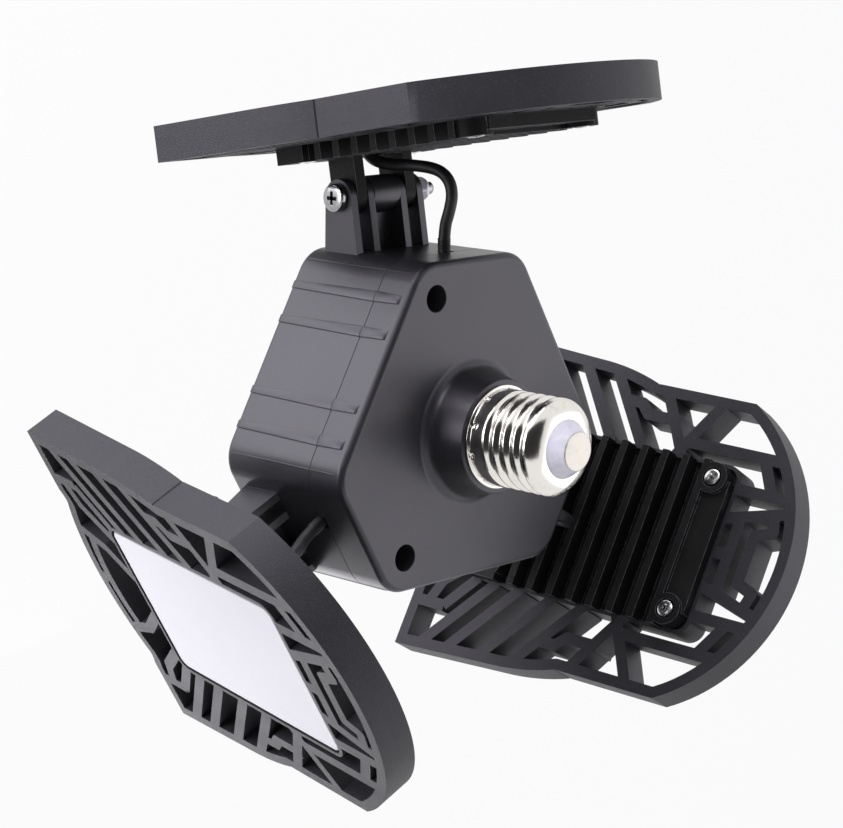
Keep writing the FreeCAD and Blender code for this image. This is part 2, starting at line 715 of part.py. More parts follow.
def hinge_bolt(leaf):
    bolt = screw_shape(float(dim.bolt_head_radius), float(dim.bolt_head_height),
                       float(dim.bolt_radius), float(dim.bolt_reach), 1.4)
    seat = float(ear_outer_face + dim.hinge_offset + dim.seat_gap)
    place = FreeCAD.Vector(-seat, float(dim.hinge_radial), -float(dim.hinge_level))
    shape = placed(bolt, place, FreeCAD.Vector(-1, 0, 0))
    return shape_feature("hinge_bolt_%d" % leaf, shape, side_placement(leaf))


def hinge_nut(leaf):
    """Hexagon lock nut with its round collar, bored for the bolt."""
    label = "hinge_nut_%d" % leaf
    hexagon = doc.addObject("Part::Prism", label + "_hexagon")
    hexagon.Polygon = 6
    bind(hexagon, "Circumradius", dim.nut_flats / (2 * math.cos(math.radians(30))))
    bind(hexagon, "Height", dim.nut_hex_height)
    collar = doc.addObject("Part::Cylinder", label + "_collar")
    bind(collar, "Radius", dim.nut_collar_radius)
    bind(collar, "Height", dim.nut_hex_height + dim.nut_collar_height)
    union = doc.addObject("Part::Fuse", label + "_union")
    union.Base = hexagon
    union.Tool = collar
    bore = doc.addObject("Part::Cylinder", label + "_bore")
    bind(bore, "Radius", dim.bolt_radius + dim.seat_gap)
    bind(bore, "Height", dim.nut_hex_height + dim.nut_collar_height + 2)
    bore.Placement.Base.z = -1
    nut = doc.addObject("Part::Cut", label)
    nut.Label = label
    nut.Base = union
    nut.Tool = bore
    seat = float(dim.hinge_offset - ear_outer_face - dim.seat_gap)
    place = FreeCAD.Vector(-seat, float(dim.hinge_radial), -float(dim.hinge_level))
    facing = FreeCAD.Rotation(FreeCAD.Vector(0, 0, 1), FreeCAD.Vector(1, 0, 0))
    nut.Placement = side_placement(leaf).multiply(FreeCAD.Placement(place, facing))
    return nut


# ---------------------------------------------------------------- driver

def driver_board():
    body = new_body("driver_board")
    disc = new_sketch(body, "XY_Plane", -dim.board_level + dim.seat_gap)
    circle(disc, 0, 0, dim.board_radius)
    pad(body, disc, dim.board_sheet)
    hole = new_sketch(body, "XY_Plane", -dim.board_level + dim.board_sheet + OVERLAP)
    circle(hole, 0, -dim.standoff_radial, dim.screw_shank + dim.screw_gap)
    cut = pocket(body, hole, dim.board_sheet + 2 * OVERLAP)
    polar_pattern(body, [cut])
    return body


board_top = -dim.board_level + dim.seat_gap + dim.board_sheet


def board_screws():
    screw = screw_shape(float(dim.cover_screw_head), 1.8, float(dim.screw_shank), 7.0, 1.0)
    level = float(board_top + dim.seat_gap)
    solids = []
    for side in range(3):
        x, y = turned(0.0, -float(dim.standoff_radial), TURN * side)
        solids.append(placed(screw, FreeCAD.Vector(x, y, level), FreeCAD.Vector(0, 0, 1)))
    return shape_feature("board_screws", Part.makeCompound(solids))


def driver_capacitors():
    """Two upright cans with grooved necks."""
    radius = 5.0
    height = 14.0
    neck = 2.4
    level = float(board_top + dim.seat_gap)
    solids = []
    for x in (-13.0, 0.0):
        can = Part.makeCylinder(radius, height, FreeCAD.Vector(x, 17.0, level))
        ends = [edge for edge in can.Edges if isinstance(edge.Curve, Part.Circle)]
        can = can.makeFillet(0.6, ends)
        groove = Part.makeTorus(radius + 0.4, 0.8, FreeCAD.Vector(x, 17.0, level + neck))
        solids.append(can.cut(groove))
    return shape_feature("driver_capacitors", Part.makeCompound(solids))


def driver_transformer():
    """Core block with a round winding between its two legs."""
    level = float(board_top + dim.seat_gap)
    width = 12.5
    height = 12.0
    leg = 2.6
    near = FreeCAD.Vector(7.0, 2.0, level)
    far = FreeCAD.Vector(7.0, 12.0, level)
    plate = Part.makeBox(width, leg, height, near)
    far_plate = Part.makeBox(width, leg, height, far)
    spool = FreeCAD.Vector(near.x + width / 2, near.y + leg - OVERLAP, level + height / 2)
    spool_length = far.y - near.y - leg + 2 * OVERLAP
    winding = Part.makeCylinder(5.2, spool_length, spool, FreeCAD.Vector(0, 1, 0))
    return shape_feature("driver_transformer", plate.fuse([far_plate, winding]))


def driver_chips():
    """Bridge rectifier and two switching chips."""
    level = float(board_top + dim.seat_gap)
    rectifier = (8.0, 6.0, 2.6)
    switch = (5.0, 4.0, 1.7)
    solids = []
    for x, y, size in ((-24.0, -2.0, rectifier), (-12.0, -1.0, switch), (-2.0, -1.0, switch)):
        solids.append(Part.makeBox(*size, FreeCAD.Vector(x, y, level)))
    return shape_feature("driver_chips", Part.makeCompound(solids))


# ---------------------------------------------------------------- leaf grille

def plan_point(point, level=0.0):
    return FreeCAD.Vector(float(point[0]), float(point[1]), level)


def plan_wire(pieces):
    """A closed plan outline from lines (two points) and arcs (three points)."""
    edges = []
    for piece in pieces:
        spots = [plan_point(point) for point in piece]
        if len(spots) == 2:
            edges.append(Part.makeLine(*spots))
        else:
            edges.append(Part.Arc(*spots).toShape())
    return Part.Wire(edges)


def bowed_middle(start, end, bow):
    """Middle point of a shallow arc from start to end, bowed to its right by a given height."""
    run_x = end[0] - start[0]
    run_y = end[1] - start[1]
    length = math.hypot(run_x, run_y)
    return ((start[0] + end[0]) / 2 + run_y / length * bow,
            (start[1] + end[1]) / 2 - run_x / length * bow)


def mirrored(piece):
    return tuple((-x, y) for x, y in reversed(piece))


def leaf_outline():
    """Outline of a leaf: bulged near end, tapering sides, a crease, and a round far end."""
    heel = (float(dim.heel_half), -float(dim.heel_along))
    notch = (float(dim.dome_half), -float(dim.heel_along - dim.notch_rise))
    heel_end = (notch[0] + 4.0, heel[1])
    dome = (0.0, -float(dim.heel_along + dim.dome_rise))
    side = (float(dim.side_half), float(dim.side_along))
    waist = (float(dim.waist_half), float(dim.waist_along))
    shoulder = (float(dim.waist_half), float(dim.shoulder_along))
    tip = (0.0, float(dim.tip_along))
    right = [(notch, bowed_middle(notch, heel_end, -0.3), heel_end), (heel_end, heel), (heel, side),
             (side, bowed_middle(side, waist, float(dim.side_bow)), waist), (waist, shoulder)]
    left = [mirrored(piece) for piece in reversed(right)]
    return plan_wire(right + [(shoulder, tip, mirrored((shoulder,))[0])] + left
                     + [(mirrored((notch,))[0], dome, notch)])


def window_wire(margin):
    """Rounded rectangle a given distance outside the window opening."""
    half = float(window_half) + margin
    near = -float(window_near) - margin
    far = float(window_far) + margin
    radius = float(dim.lens_radius + dim.lens_gap) + margin
    bend = radius * (1 - math.sqrt(0.5))
    right = [((half - radius, near), (half - bend, near + bend), (half, near + radius)),
             ((half, near + radius), (half, far - radius)),
             ((half, far - radius), (half - bend, far - bend), (half - radius, far))]
    left = [mirrored(piece) for piece in reversed(right)]
    return plan_wire(right + [((half - radius, far), (radius - half, far))] + left
                     + [((radius - half, near), (half - radius, near))])


# Turns of the kinked ribs on the right half, as (across, along) pairs.
STEP_OUTER = (28.9, -22.2)
STEP_INNER = (14.6, -21.0)
HOOK_LOW = (35.7, 26.6)
HOOK_END = (38.8, 23.4)
CURL_NEAR = (7.3, 74.4)
CURL_FAR = (9.2, 79.8)
RIB_SLOPE = -0.80                 # fall of the slanted ribs, along per across
WALL_BITE = 0.4                   # how far a rib runs into the window wall


def rib_lines():
    """Middle lines of the ribs on the right half; the left half mirrors them.

    Ends on the window wall or on the rim run into it.
    """
    wall = float(window_half) + WALL_BITE
    near = -float(window_near) - WALL_BITE
    far = float(window_far) + WALL_BITE
    rim = float(dim.heel_half) + 1.0
    beyond = float(dim.tip_along)

    def slanted(height, end=rim):
        """A rib that leaves the window wall at a height and falls to the rim."""
        return (wall, height), (end, height + RIB_SLOPE * (end - wall))

    return [
        # slanted ribs beside the lamp, from the far one to the near one
        slanted(28.6), slanted(17.4), slanted(5.7), slanted(-3.4), slanted(-10.2, 36.5),
        # near end: upright bar, doubled step and the leg beside the dome
        ((36.5, -19.0), (36.5, -33.0)),
        ((20.2, near), STEP_OUTER), (STEP_OUTER, (36.5, -25.0)),
        ((6.6, near), STEP_INNER), (STEP_INNER, (18.6, -33.0)),
        ((0.0, -30.0), (0.0, -36.0)),
        # middle: hook, brace and the bars that meet at the waist
        ((35.7, 37.5), HOOK_LOW), (HOOK_LOW, HOOK_END), (HOOK_END, (38.8, 17.5)),
        ((wall, 42.6), (47.0, 28.6)), ((wall, 40.0), (47.0, 52.2)),
        # far end
        ((30.1, 42.0), (30.1, beyond)), ((19.5, far), (19.5, beyond)),
        ((30.1, 69.2), (19.5, 75.5)), ((10.4, far), (16.9, beyond)),
        ((0.0, 68.3), (12.0, 68.3)), ((0.0, far), (0.0, 68.3)),
        ((0.0, 74.4), CURL_NEAR), (CURL_NEAR, CURL_FAR), (CURL_FAR, (15.4, 78.2)),
    ]


def rib_face(start, end, width):
    """A bar of the given width along its middle line."""
    run = FreeCAD.Vector(end[0] - start[0], end[1] - start[1], 0)
    side = FreeCAD.Vector(-run.y, run.x, 0).normalize() * (width / 2)
    a = plan_point(start)
    b = plan_point(end)
    corners = [a + side, a - side, b - side, b + side]
    return Part.Face(Part.makePolygon(corners + [corners[0]]))


def disc_face(place, radius):
    ring = Part.Circle(plan_point(place), FreeCAD.Vector(0, 0, 1), radius).toShape()
    return Part.Face(Part.Wire(ring))


def near_arc_rib():
    """The curved rib that closes the dome-shaped opening at the near end."""
    width = float(dim.rib_width)
    reach = 15.4
    crown = -30.0
    rise = 2.7
    outer = [((-reach, crown + rise - width / 2), (0.0, crown - width / 2),
              (reach, crown + rise - width / 2)),
             ((reach, crown + rise - width / 2), (reach, crown + rise + width / 2)),
             ((reach, crown + rise + width / 2), (0.0, crown + width / 2),
              (-reach, crown + rise + width / 2)),
             ((-reach, crown + rise + width / 2), (-reach, crown + rise - width / 2))]
    return Part.Face(plan_wire(outer))


def grille_plan():
    """Plan of the grille: rim, window wall and ribs as one face with its openings."""
    outline = Part.Face(leaf_outline())
    clear = outline.makeOffset2D(-float(dim.rim_width))
    width = float(dim.rib_width)
    bars = [near_arc_rib(), Part.Face(window_wire(float(dim.frame_wall)))]
    for start, end in rib_lines():
        for sign in (1, -1):
            first = (sign * start[0], start[1])
            last = (sign * end[0], end[1])
            if first[0] == last[0] == 0 and sign < 0:
                continue
            bars.append(rib_face(first, last, width))
    for across, along in (STEP_OUTER, STEP_INNER, HOOK_LOW, HOOK_END, CURL_NEAR, CURL_FAR):
        for sign in (1, -1):
            bars.append(disc_face((sign * across, along), width / 2))
    holes = clear.cut(bars)
    return outline.cut(holes)


def leaf_frame(leaf):
    """Grille with the window, the ledge of the diffuser and the pads of the sink screws."""
    back = float(dim.leaf_back)
    depth = float(dim.leaf_depth)
    grille = grille_plan().extrude(FreeCAD.Vector(0, 0, depth))
    opening = Part.Face(window_wire(0.0)).extrude(FreeCAD.Vector(0, 0, depth))
    grille = grille.cut(opening)
    ledge_low = float(ledge_bottom) - back
    ledge_high = float(lens_bottom - dim.seat_gap) - back
    ring = Part.Face(window_wire(0.2)).cut(Part.Face(window_wire(-float(dim.ledge_width))))
    ledge = ring.extrude(FreeCAD.Vector(0, 0, ledge_high - ledge_low))
    ledge.translate(FreeCAD.Vector(0, 0, ledge_low))
    pieces = [ledge]
    pad_low = float(dim.core_top) - back - 2.0
    window = Part.Face(window_wire(0.2)).extrude(FreeCAD.Vector(0, 0, depth))
    size = float(dim.pad_size)
    for sign in (1, -1):
        for along, far_end in ((float(window_far), True), (-float(window_near), False)):
            x = float(window_half) - size if sign > 0 else -float(window_half) - 1
            y = along - size if far_end else along - 1
            block = Part.makeBox(size + 1, size + 1, ledge_high - pad_low,
                                 FreeCAD.Vector(x, y, pad_low))
            pieces.append(block.common(window))
    frame = grille.fuse(pieces)
    pilot = float(dim.screw_shank + dim.seat_gap)
    holes = []
    for x, y in sink_screw_places():
        place = FreeCAD.Vector(x, y, pad_low)
        holes.append(Part.makeCylinder(pilot, ledge_high - pad_low - 1, place))
    frame = frame.cut(holes).removeSplitter()
    frame.translate(FreeCAD.Vector(0, 0, back))
    solid = frame.Solids[0] if len(frame.Solids) == 1 else frame
    return shape_feature("leaf_frame_%d" % leaf, solid, leaf_placement(leaf))


def sink_screw_places():
    across = float(dim.sink_screw_across)
    return [(x, y) for y in (float(dim.sink_screw_along), -float(dim.sink_screw_near))
            for x in (-across, across)]


# ---------------------------------------------------------------- lamp

def diffuser(leaf):
    body = new_body("diffuser_%d" % leaf)
    sheet_sketch = new_sketch(body, "XY_Plane", lens_bottom)
    rectangle(sheet_sketch, -dim.lens_half, dim.lens_half, -dim.lens_near, dim.lens_far)
    pad(body, sheet_sketch, dim.lens_sheet)
    round_edges(body, lambda edge: is_upright(edge), dim.lens_radius)
    top = float(lens_top)
    round_edges(body, lambda edge: lies_at(edge, top), dim.lens_sheet * 0.4)
    body.Placement = leaf_placement(leaf)
    return body


def led_board(leaf):
    body = new_body("led_board_%d" % leaf)
    level = dim.core_top + dim.seat_gap
    sketch = new_sketch(body, "XY_Plane", level)
    inset = dim.pad_size + dim.led_gap
    half = window_half - dim.ledge_width - dim.led_gap
    rectangle(sketch, -half, half, -window_near + inset, window_far - inset)
    pad(body, sketch, dim.led_sheet)
    body.Placement = leaf_placement(leaf)
    return body


def led_chips(leaf):
    """Rows of light emitters on the lamp board."""
    columns = int(dim.chip_columns.value)
    rows = int(dim.chip_rows.value)
    level = float(dim.core_top + 2 * dim.seat_gap + dim.led_sheet)
    half = float(window_half) - 6.0
    near = -float(window_near) + float(dim.pad_size) + 4.0
    far = float(window_far) - float(dim.pad_size) - 4.0
    solids = []
    for column in range(columns):
        for row_index in range(rows):
            x = -half + 2 * half * column / (columns - 1)
            y = near + (far - near) * row_index / (rows - 1)
            corner = FreeCAD.Vector(x - 1.75, y - 1.4, level)
            solids.append(Part.makeBox(3.5, 2.8, float(dim.chip_height), corner))
    return shape_feature("led_chips_%d" % leaf, Part.makeCompound(solids), leaf_placement(leaf))


# ---------------------------------------------------------------- heat sink

def sink_arm(body, start):
    """One hinge arm with a round end on the hinge, as two pads across the leaf."""
    block = new_sketch(body, "YZ_Plane", start)
    rectangle(block, -dim.arm_half, dim.arm_half, 0, dim.sink_face + dim.fin_depth)
    features = [pad(body, block, dim.arm_sheet)]
    end = new_sketch(body, "YZ_Plane", start)
    circle(end, 0, 0, dim.arm_half)
    features.append(pad(body, end, dim.arm_sheet))
    return features


def heat_sink(leaf):
    body = new_body("heat_sink_%d" % leaf)
    near = -window_near - dim.frame_wall
    far = window_far - dim.seat_gap
    core_bottom = dim.leaf_back - dim.seat_gap
    # fin block behind the grille
    block = new_sketch(body, "XY_Plane", dim.sink_face)
    rectangle(block, -dim.sink_half, dim.sink_half, near, dim.step_along)
    pad(body, block, core_bottom - dim.sink_face)
    step = new_sketch(body, "XY_Plane", dim.sink_face + dim.step_drop)
    rectangle(step, -dim.sink_screw_across, dim.sink_screw_across, dim.step_along - OVERLAP, far)
    pad(body, step, core_bottom - dim.sink_face - dim.step_drop)
    # core inside the window, a cross that leaves the four corner pads free
    inset = dim.pad_size + dim.led_gap
    half = window_half - dim.led_gap
    arms = ((half, -window_near + inset, window_far - inset),
            (window_half - inset, -window_near + dim.led_gap, window_far - dim.led_gap))
    for half_width, low, high in arms:
        core = new_sketch(body, "XY_Plane", core_bottom - OVERLAP)
        rectangle(core, -half_width, half_width, low, high)
        pad(body, core, dim.core_top - core_bottom + OVERLAP)
    # valleys between the fins
    for valley in range(int(dim.fin_valleys.value)):
        high = dim.step_along - dim.fin_sheet - dim.fin_pitch * valley
        low = dim.step_along - dim.fin_pitch * (valley + 1)
        sketch = new_sketch(body, "XY_Plane", dim.sink_face + dim.fin_depth)
        rectangle(sketch, -dim.sink_half - 1, dim.sink_half + 1, low, high)
        pocket(body, sketch, dim.fin_depth + 1)
    # screw bosses, their recesses and holes
    for x, y in ((-dim.sink_screw_across, dim.sink_screw_along),
                 (dim.sink_screw_across, dim.sink_screw_along),
                 (-dim.sink_screw_across, -dim.sink_screw_near),
                 (dim.sink_screw_across, -dim.sink_screw_near)):
        boss = new_sketch(body, "XY_Plane", dim.sink_face)
        circle(boss, x, y, dim.boss_radius)
        pad(body, boss, core_bottom - dim.sink_face)
        hole = new_sketch(body, "XY_Plane", dim.core_top + OVERLAP)
        circle(hole, x, y, dim.screw_shank + dim.screw_gap)
        pocket(body, hole, dim.core_top - dim.sink_face + 2 * OVERLAP)
        recess = new_sketch(body, "XY_Plane", dim.sink_face + dim.boss_recess)
        circle(recess, x, y, dim.sink_screw_head + 0.5)
        pocket(body, recess, dim.boss_recess + OVERLAP)
    # hinge arms
    for side in (-1, 1):
        sink_arm(body, arm_middle * side + dim.hinge_offset - dim.arm_sheet / 2)
    bolt_hole = new_sketch(body, "YZ_Plane", ear_outer_face + dim.hinge_offset)
    circle(bolt_hole, 0, 0, dim.bolt_radius + dim.bolt_fit)
    pocket(body, bolt_hole, ear_outer_face * 2)
    # cable way: a relief in the fins and a hole through the core
    relief = new_sketch(body, "XY_Plane", dim.sink_face + dim.fin_depth - 1.0)
    rectangle(relief, dim.entry_across - 3.2, dim.entry_across + 3.2, -3.0, 6.0)
    pocket(body, relief, dim.fin_depth)
    way = new_sketch(body, "XY_Plane", dim.core_top + OVERLAP)
    circle(way, dim.entry_across, 0, dim.cable_radius + 0.4)
    pocket(body, way, dim.core_top - dim.sink_face + 2 * OVERLAP)
    body.Placement = leaf_placement(leaf)
    return body


def sink_screws(leaf):
    reach = float(lens_bottom) - 1.6 - float(dim.sink_face + dim.boss_recess)
    screw = screw_shape(float(dim.sink_screw_head), float(dim.sink_screw_height),
                        float(dim.screw_shank), reach, 0.9)
    level = float(dim.sink_face + dim.boss_recess - dim.seat_gap)
    solids = [placed(screw, FreeCAD.Vector(x, y, level), FreeCAD.Vector(0, 0, -1))
              for x, y in sink_screw_places()]
    return shape_feature("sink_screws_%d" % leaf, Part.makeCompound(solids), leaf_placement(leaf))


# ---------------------------------------------------------------- cables

def side_point(across, radial, level):
    """A point of the first hinge side from (across, distance from the axis, height)."""
    return FreeCAD.Vector(-across, radial, level)


def rounded_route(points, label):
    """Straight runs joined by tangent arcs, each as large as its two runs allow."""
    edges = []
    radii = []
    start = points[0]
    for i in range(1, len(points) - 1):
        before = points[i] - points[i - 1]
        after = points[i + 1] - points[i]
        turn = before.getAngle(after)
        if turn < 1e-4:
            continue
        trim = 0.45 * min(before.Length, after.Length)
        radii.append(trim / math.tan(turn / 2))
        first = points[i] - before.normalize() * trim
        last = points[i] + after.normalize() * trim
        bisector = (last - points[i]).normalize() + (first - points[i]).normalize()
        reach = radii[-1] / math.cos(turn / 2) - radii[-1]
        middle = points[i] + bisector.normalize() * reach
        edges.append(Part.LineSegment(start, first).toShape())
        edges.append(Part.Arc(first, middle, last).toShape())
        start = last
    edges.append(Part.LineSegment(start, points[-1]).toShape())
    print(label, "radii", " ".join("%.1f" % radius for radius in radii))
    return Part.Wire(edges)


def tube(wire, radius, label):
    """A round bar along a route, compared with its section times its length."""
    start = wire.OrderedVertexes[0].Point
    heading = (wire.OrderedVertexes[1].Point - start).normalize()
    ring = Part.Wire(Part.Circle(start, heading, radius).toShape())
    solid = wire.makePipeShell([ring], True, False)
    expected = math.pi * radius ** 2 * wire.Length
    print(label, "length %.1f volume ratio %.4f" % (wire.Length, solid.Volume / expected))
    return solid


# Outside stretch of the first leaf's cable, as (across, radial, level): up beside the ears,
# over the barrel between the two leaf arms, and towards the entry in the heat sink.
CABLE_OUTSIDE = (
    (-4.0, 58.6, -13.4), (-4.4, 63.2, -12.8), (-4.5, 66.9, -13.6),
    (-4.4, 69.6, -16.0), (-4.1, 70.7, -19.6), (-3.3, 70.6, -23.8), (-1.9, 70.2, -27.6),
    (0.5, 70.0, -31.0),
)
# the last points as (across, along, level) in the frame of the leaf
CABLE_ENTRY = ((2.9, 1.6, 8.9), (4.2, 0.0, 12.0), (4.2, 0.0, 15.5))


def cable(leaf):
    """Leaf cable from the driver board through its notch and over the hinge to the lamp board."""
    exit_level = -float(dim.exit_level)
    across = float(dim.exit_across)
    board = float(board_top + dim.seat_gap)
    radial_board = 24.0
    wall = float(dim.short_apothem)
    points = [side_point(across, radial_board, board),
              side_point(across, radial_board, board + 5.0),
              side_point(across, radial_board + 2.6, exit_level - 6.0),
              side_point(across, radial_board + 8.6, exit_level - 1.3),
              side_point(across, wall - 5.3, exit_level), side_point(across, wall + 6.2, exit_level)]
    points += [side_point(*spot) for spot in CABLE_OUTSIDE]
    to_side = side_placement(leaf).inverse().multiply(leaf_placement(leaf))
    points += [to_side.multVec(FreeCAD.Vector(*spot)) for spot in CABLE_ENTRY]
    lamp_end = FreeCAD.Vector(float(dim.entry_across), 0, float(dim.core_top - dim.seat_gap))
    points.append(to_side.multVec(lamp_end))
    label = "cable_%d" % leaf
    solid = tube(rounded_route(points, label), float(dim.cable_radius), label)
    return shape_feature(label, solid, side_placement(leaf))


def cable_sleeve(leaf):
    """Ribbed sleeve that grips the cable in its notch."""
    groove = 0.45
    groove_depth = 0.16
    collar_height = 0.7
    outer = float(dim.sleeve_radius) - float(dim.seat_gap)
    bore = float(dim.cable_radius + dim.sleeve_gap)
    wall = float(dim.short_apothem)
    inside = wall - float(dim.housing_wall) - 0.8
    rise = float(dim.sleeve_rise)
    place = side_point(float(dim.exit_across), inside, -float(dim.exit_level))
    outward = FreeCAD.Vector(0, 1, 0)
    length = wall + rise - inside
    sleeve = Part.makeCylinder(outer, length, place, outward)
    collar = Part.makeCylinder(outer + 0.25, collar_height, place, outward)
    rings = []
    for ring in range(3):
        height = wall + 0.9 + ring * (rise - 1.1) / 3
        spot = side_point(float(dim.exit_across), height, -float(dim.exit_level))
        cut = Part.makeCylinder(outer + 1, groove, spot, outward)
        core = Part.makeCylinder(outer - groove_depth, groove, spot, outward)
        rings.append(cut.cut(core))
    bored = Part.makeCylinder(bore, length + 2, place - outward, outward)
    solid = sleeve.fuse(collar).cut(rings + [bored])
    return shape_feature("cable_sleeve_%d" % leaf, solid, side_placement(leaf))


def inner_wires():
    """Two leads from the screw cap to the driver board."""
    level = float(board_top + dim.seat_gap)
    stem = float(mouth_level) - 4.0 - float(dim.seat_gap)
    contact_route = [FreeCAD.Vector(0, 0, stem), FreeCAD.Vector(0, 0, stem - 7.0),
                     FreeCAD.Vector(0, 4.5, 12.0), FreeCAD.Vector(0, 6.5, 0.0),
                     FreeCAD.Vector(-3.0, 7.5, -11.0), FreeCAD.Vector(-6.0, 7.6, -20.0),
                     FreeCAD.Vector(-6.0, 7.6, level)]
    shell_radius = float(dim.cap_radius - dim.thread_depth - dim.cap_sheet) - 1.4
    shell_route = [FreeCAD.Vector(-shell_radius, 0, float(thread_top)),
                   FreeCAD.Vector(-shell_radius, 0, float(thread_top) - 6.0),
                   FreeCAD.Vector(-7.4, 1.0, 15.5), FreeCAD.Vector(-7.0, 2.5, 0.0),
                   FreeCAD.Vector(-10.5, 5.5, -10.0), FreeCAD.Vector(-16.0, 8.0, -20.0),
                   FreeCAD.Vector(-16.0, 8.0, level)]
    for label, route in (("contact_wire", contact_route), ("shell_wire", shell_route)):
        shape_feature(label, tube(rounded_route(route, label), LEAD_RADIUS, label))


# ---------------------------------------------------------------- build and write

front_housing()
rear_cover()
cap_shell()
cap_insulator()
cap_contact()
cover_screws()
driver_board()
board_screws()
driver_capacitors()
driver_transformer()
driver_chips()
inner_wires()
for number in LEAVES:
    hinge_bolt(number)
    hinge_nut(number)
    leaf_frame(number)
    heat_sink(number)
    led_board(number)
    led_chips(number)
    diffuser(number)
    sink_screws(number)
    cable(number)
    cable_sleeve(number)
doc.recompute()

HOUSING_NODES = ["front_housing", "rear_cover", "cap_shell", "cap_insulator", "cap_contact",
                 "cover_screws", "driver_board", "board_screws", "driver_capacitors",
                 "driver_transformer", "driver_chips", "contact_wire", "shell_wire"]
LEAF_NODES = ["hinge_bolt", "hinge_nut", "leaf_frame", "heat_sink", "led_board", "led_chips",
              "diffuser", "sink_screws", "cable", "cable_sleeve"]
nodes = HOUSING_NODES + ["%s_%d" % (name, number) for number in LEAVES for name in LEAF_NODES]

for item in doc.Objects:
    if "Invalid" in item.State or "Error" in item.State:
        raise RuntimeError("%s did not build: %s" % (item.Label, item.State))

os.makedirs("parts", exist_ok=True)
for name in nodes:
    item = doc.getObjectsByLabel(name)[0]
    shape = item.Shape
    if shape.isNull() or not shape.isValid():
        raise RuntimeError("%s has no valid shape" % name)
    shape.exportStep("parts/%s.step" % name)
print("wrote", len(nodes), "nodes")
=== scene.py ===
"""Looks of the three-leaf folding garage light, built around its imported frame."""

import json
import math

import bpy
from bpy.props import FloatProperty, FloatVectorProperty, IntProperty, PointerProperty
from mathutils import Matrix, Vector


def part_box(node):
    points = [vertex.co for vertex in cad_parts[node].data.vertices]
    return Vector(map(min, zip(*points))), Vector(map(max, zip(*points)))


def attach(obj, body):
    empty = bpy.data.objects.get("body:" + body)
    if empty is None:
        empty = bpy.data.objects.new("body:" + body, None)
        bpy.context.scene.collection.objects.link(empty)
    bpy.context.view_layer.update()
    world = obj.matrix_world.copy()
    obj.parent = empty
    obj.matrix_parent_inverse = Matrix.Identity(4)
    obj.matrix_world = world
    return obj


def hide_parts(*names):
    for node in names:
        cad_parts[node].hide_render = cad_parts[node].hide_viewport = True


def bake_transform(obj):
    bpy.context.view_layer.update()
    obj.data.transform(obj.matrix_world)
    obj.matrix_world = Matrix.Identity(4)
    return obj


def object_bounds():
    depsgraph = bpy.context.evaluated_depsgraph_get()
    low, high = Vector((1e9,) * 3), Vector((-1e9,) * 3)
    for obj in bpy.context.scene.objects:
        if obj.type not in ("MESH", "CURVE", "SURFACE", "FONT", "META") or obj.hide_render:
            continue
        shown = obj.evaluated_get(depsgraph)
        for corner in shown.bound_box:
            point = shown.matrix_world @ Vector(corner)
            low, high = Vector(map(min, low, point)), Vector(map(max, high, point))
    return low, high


bl_info = {
    "name": "Folding garage light",
    "version": (1, 0, 0),
    "blender": (4, 5, 0),
    "location": "View3D > Sidebar > Garage light",
    "description": "Finishes and details of a three-leaf folding garage light",
    "category": "Object",
}

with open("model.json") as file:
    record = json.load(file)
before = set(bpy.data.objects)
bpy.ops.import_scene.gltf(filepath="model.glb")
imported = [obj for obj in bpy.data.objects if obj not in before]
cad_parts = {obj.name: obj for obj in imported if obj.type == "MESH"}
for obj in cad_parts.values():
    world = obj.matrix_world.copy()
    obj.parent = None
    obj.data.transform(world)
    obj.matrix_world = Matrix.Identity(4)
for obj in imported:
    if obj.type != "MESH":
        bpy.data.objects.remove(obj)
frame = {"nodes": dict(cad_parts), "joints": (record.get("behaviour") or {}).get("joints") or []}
CAD_BOX = [list(corner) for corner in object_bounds()]
LEAVES = (1, 2, 3)
MM = 0.001

# ---------------- places, from the frame

JOINTS = {joint["child"]: joint for joint in frame["joints"]}
COVER_DEPTH = 12.1 * MM
COVER_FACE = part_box("front_housing")[1].z + COVER_DEPTH  # the parting line is the front's top
CAP_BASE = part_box("cap_shell")[0].z  # underside of the cap's flange
CAP_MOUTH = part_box("cap_shell")[1].z


def hinge_place(leaf):
    """The hinge point of a leaf, in metres."""
    return Vector(JOINTS["leaf_%d" % leaf]["pos_m"])


def side_turn(leaf, further=0.0):
    """Turn about Z from the first leaf's side to another's, or further by an angle."""
    return Matrix.Rotation(math.radians(120.0 * (leaf - 1)) + further, 4, "Z")


def leaf_matrix(leaf):
    """Leaf frame at rest: X across, Y along, Z towards the lamp side, origin on the hinge."""
    across = Vector(JOINTS["leaf_%d" % leaf]["axis"]).normalized()
    tilt = -math.radians(JOINTS["leaf_%d" % leaf]["range_deg"][0])
    outward = across.cross(Vector((0, 0, 1)))
    along = Vector((0, 0, 1)) * math.cos(tilt) + outward * math.sin(tilt)
    lampwards = across.cross(along)
    turn = Matrix((across, along, lampwards)).transposed().to_4x4()
    return Matrix.Translation(hinge_place(leaf)) @ turn


def side_point(leaf, across, radial, level):
    """Row point from millimetres across the side, out from the axis, and above the cover face."""
    local = Vector((-across * MM, radial * MM, level * MM + COVER_FACE))
    return side_turn(leaf) @ local


# ---------------- settings

COLOUR = {"subtype": "COLOR", "size": 4, "min": 0, "max": 1}
LENGTH = {"subtype": "DISTANCE", "unit": "LENGTH"}


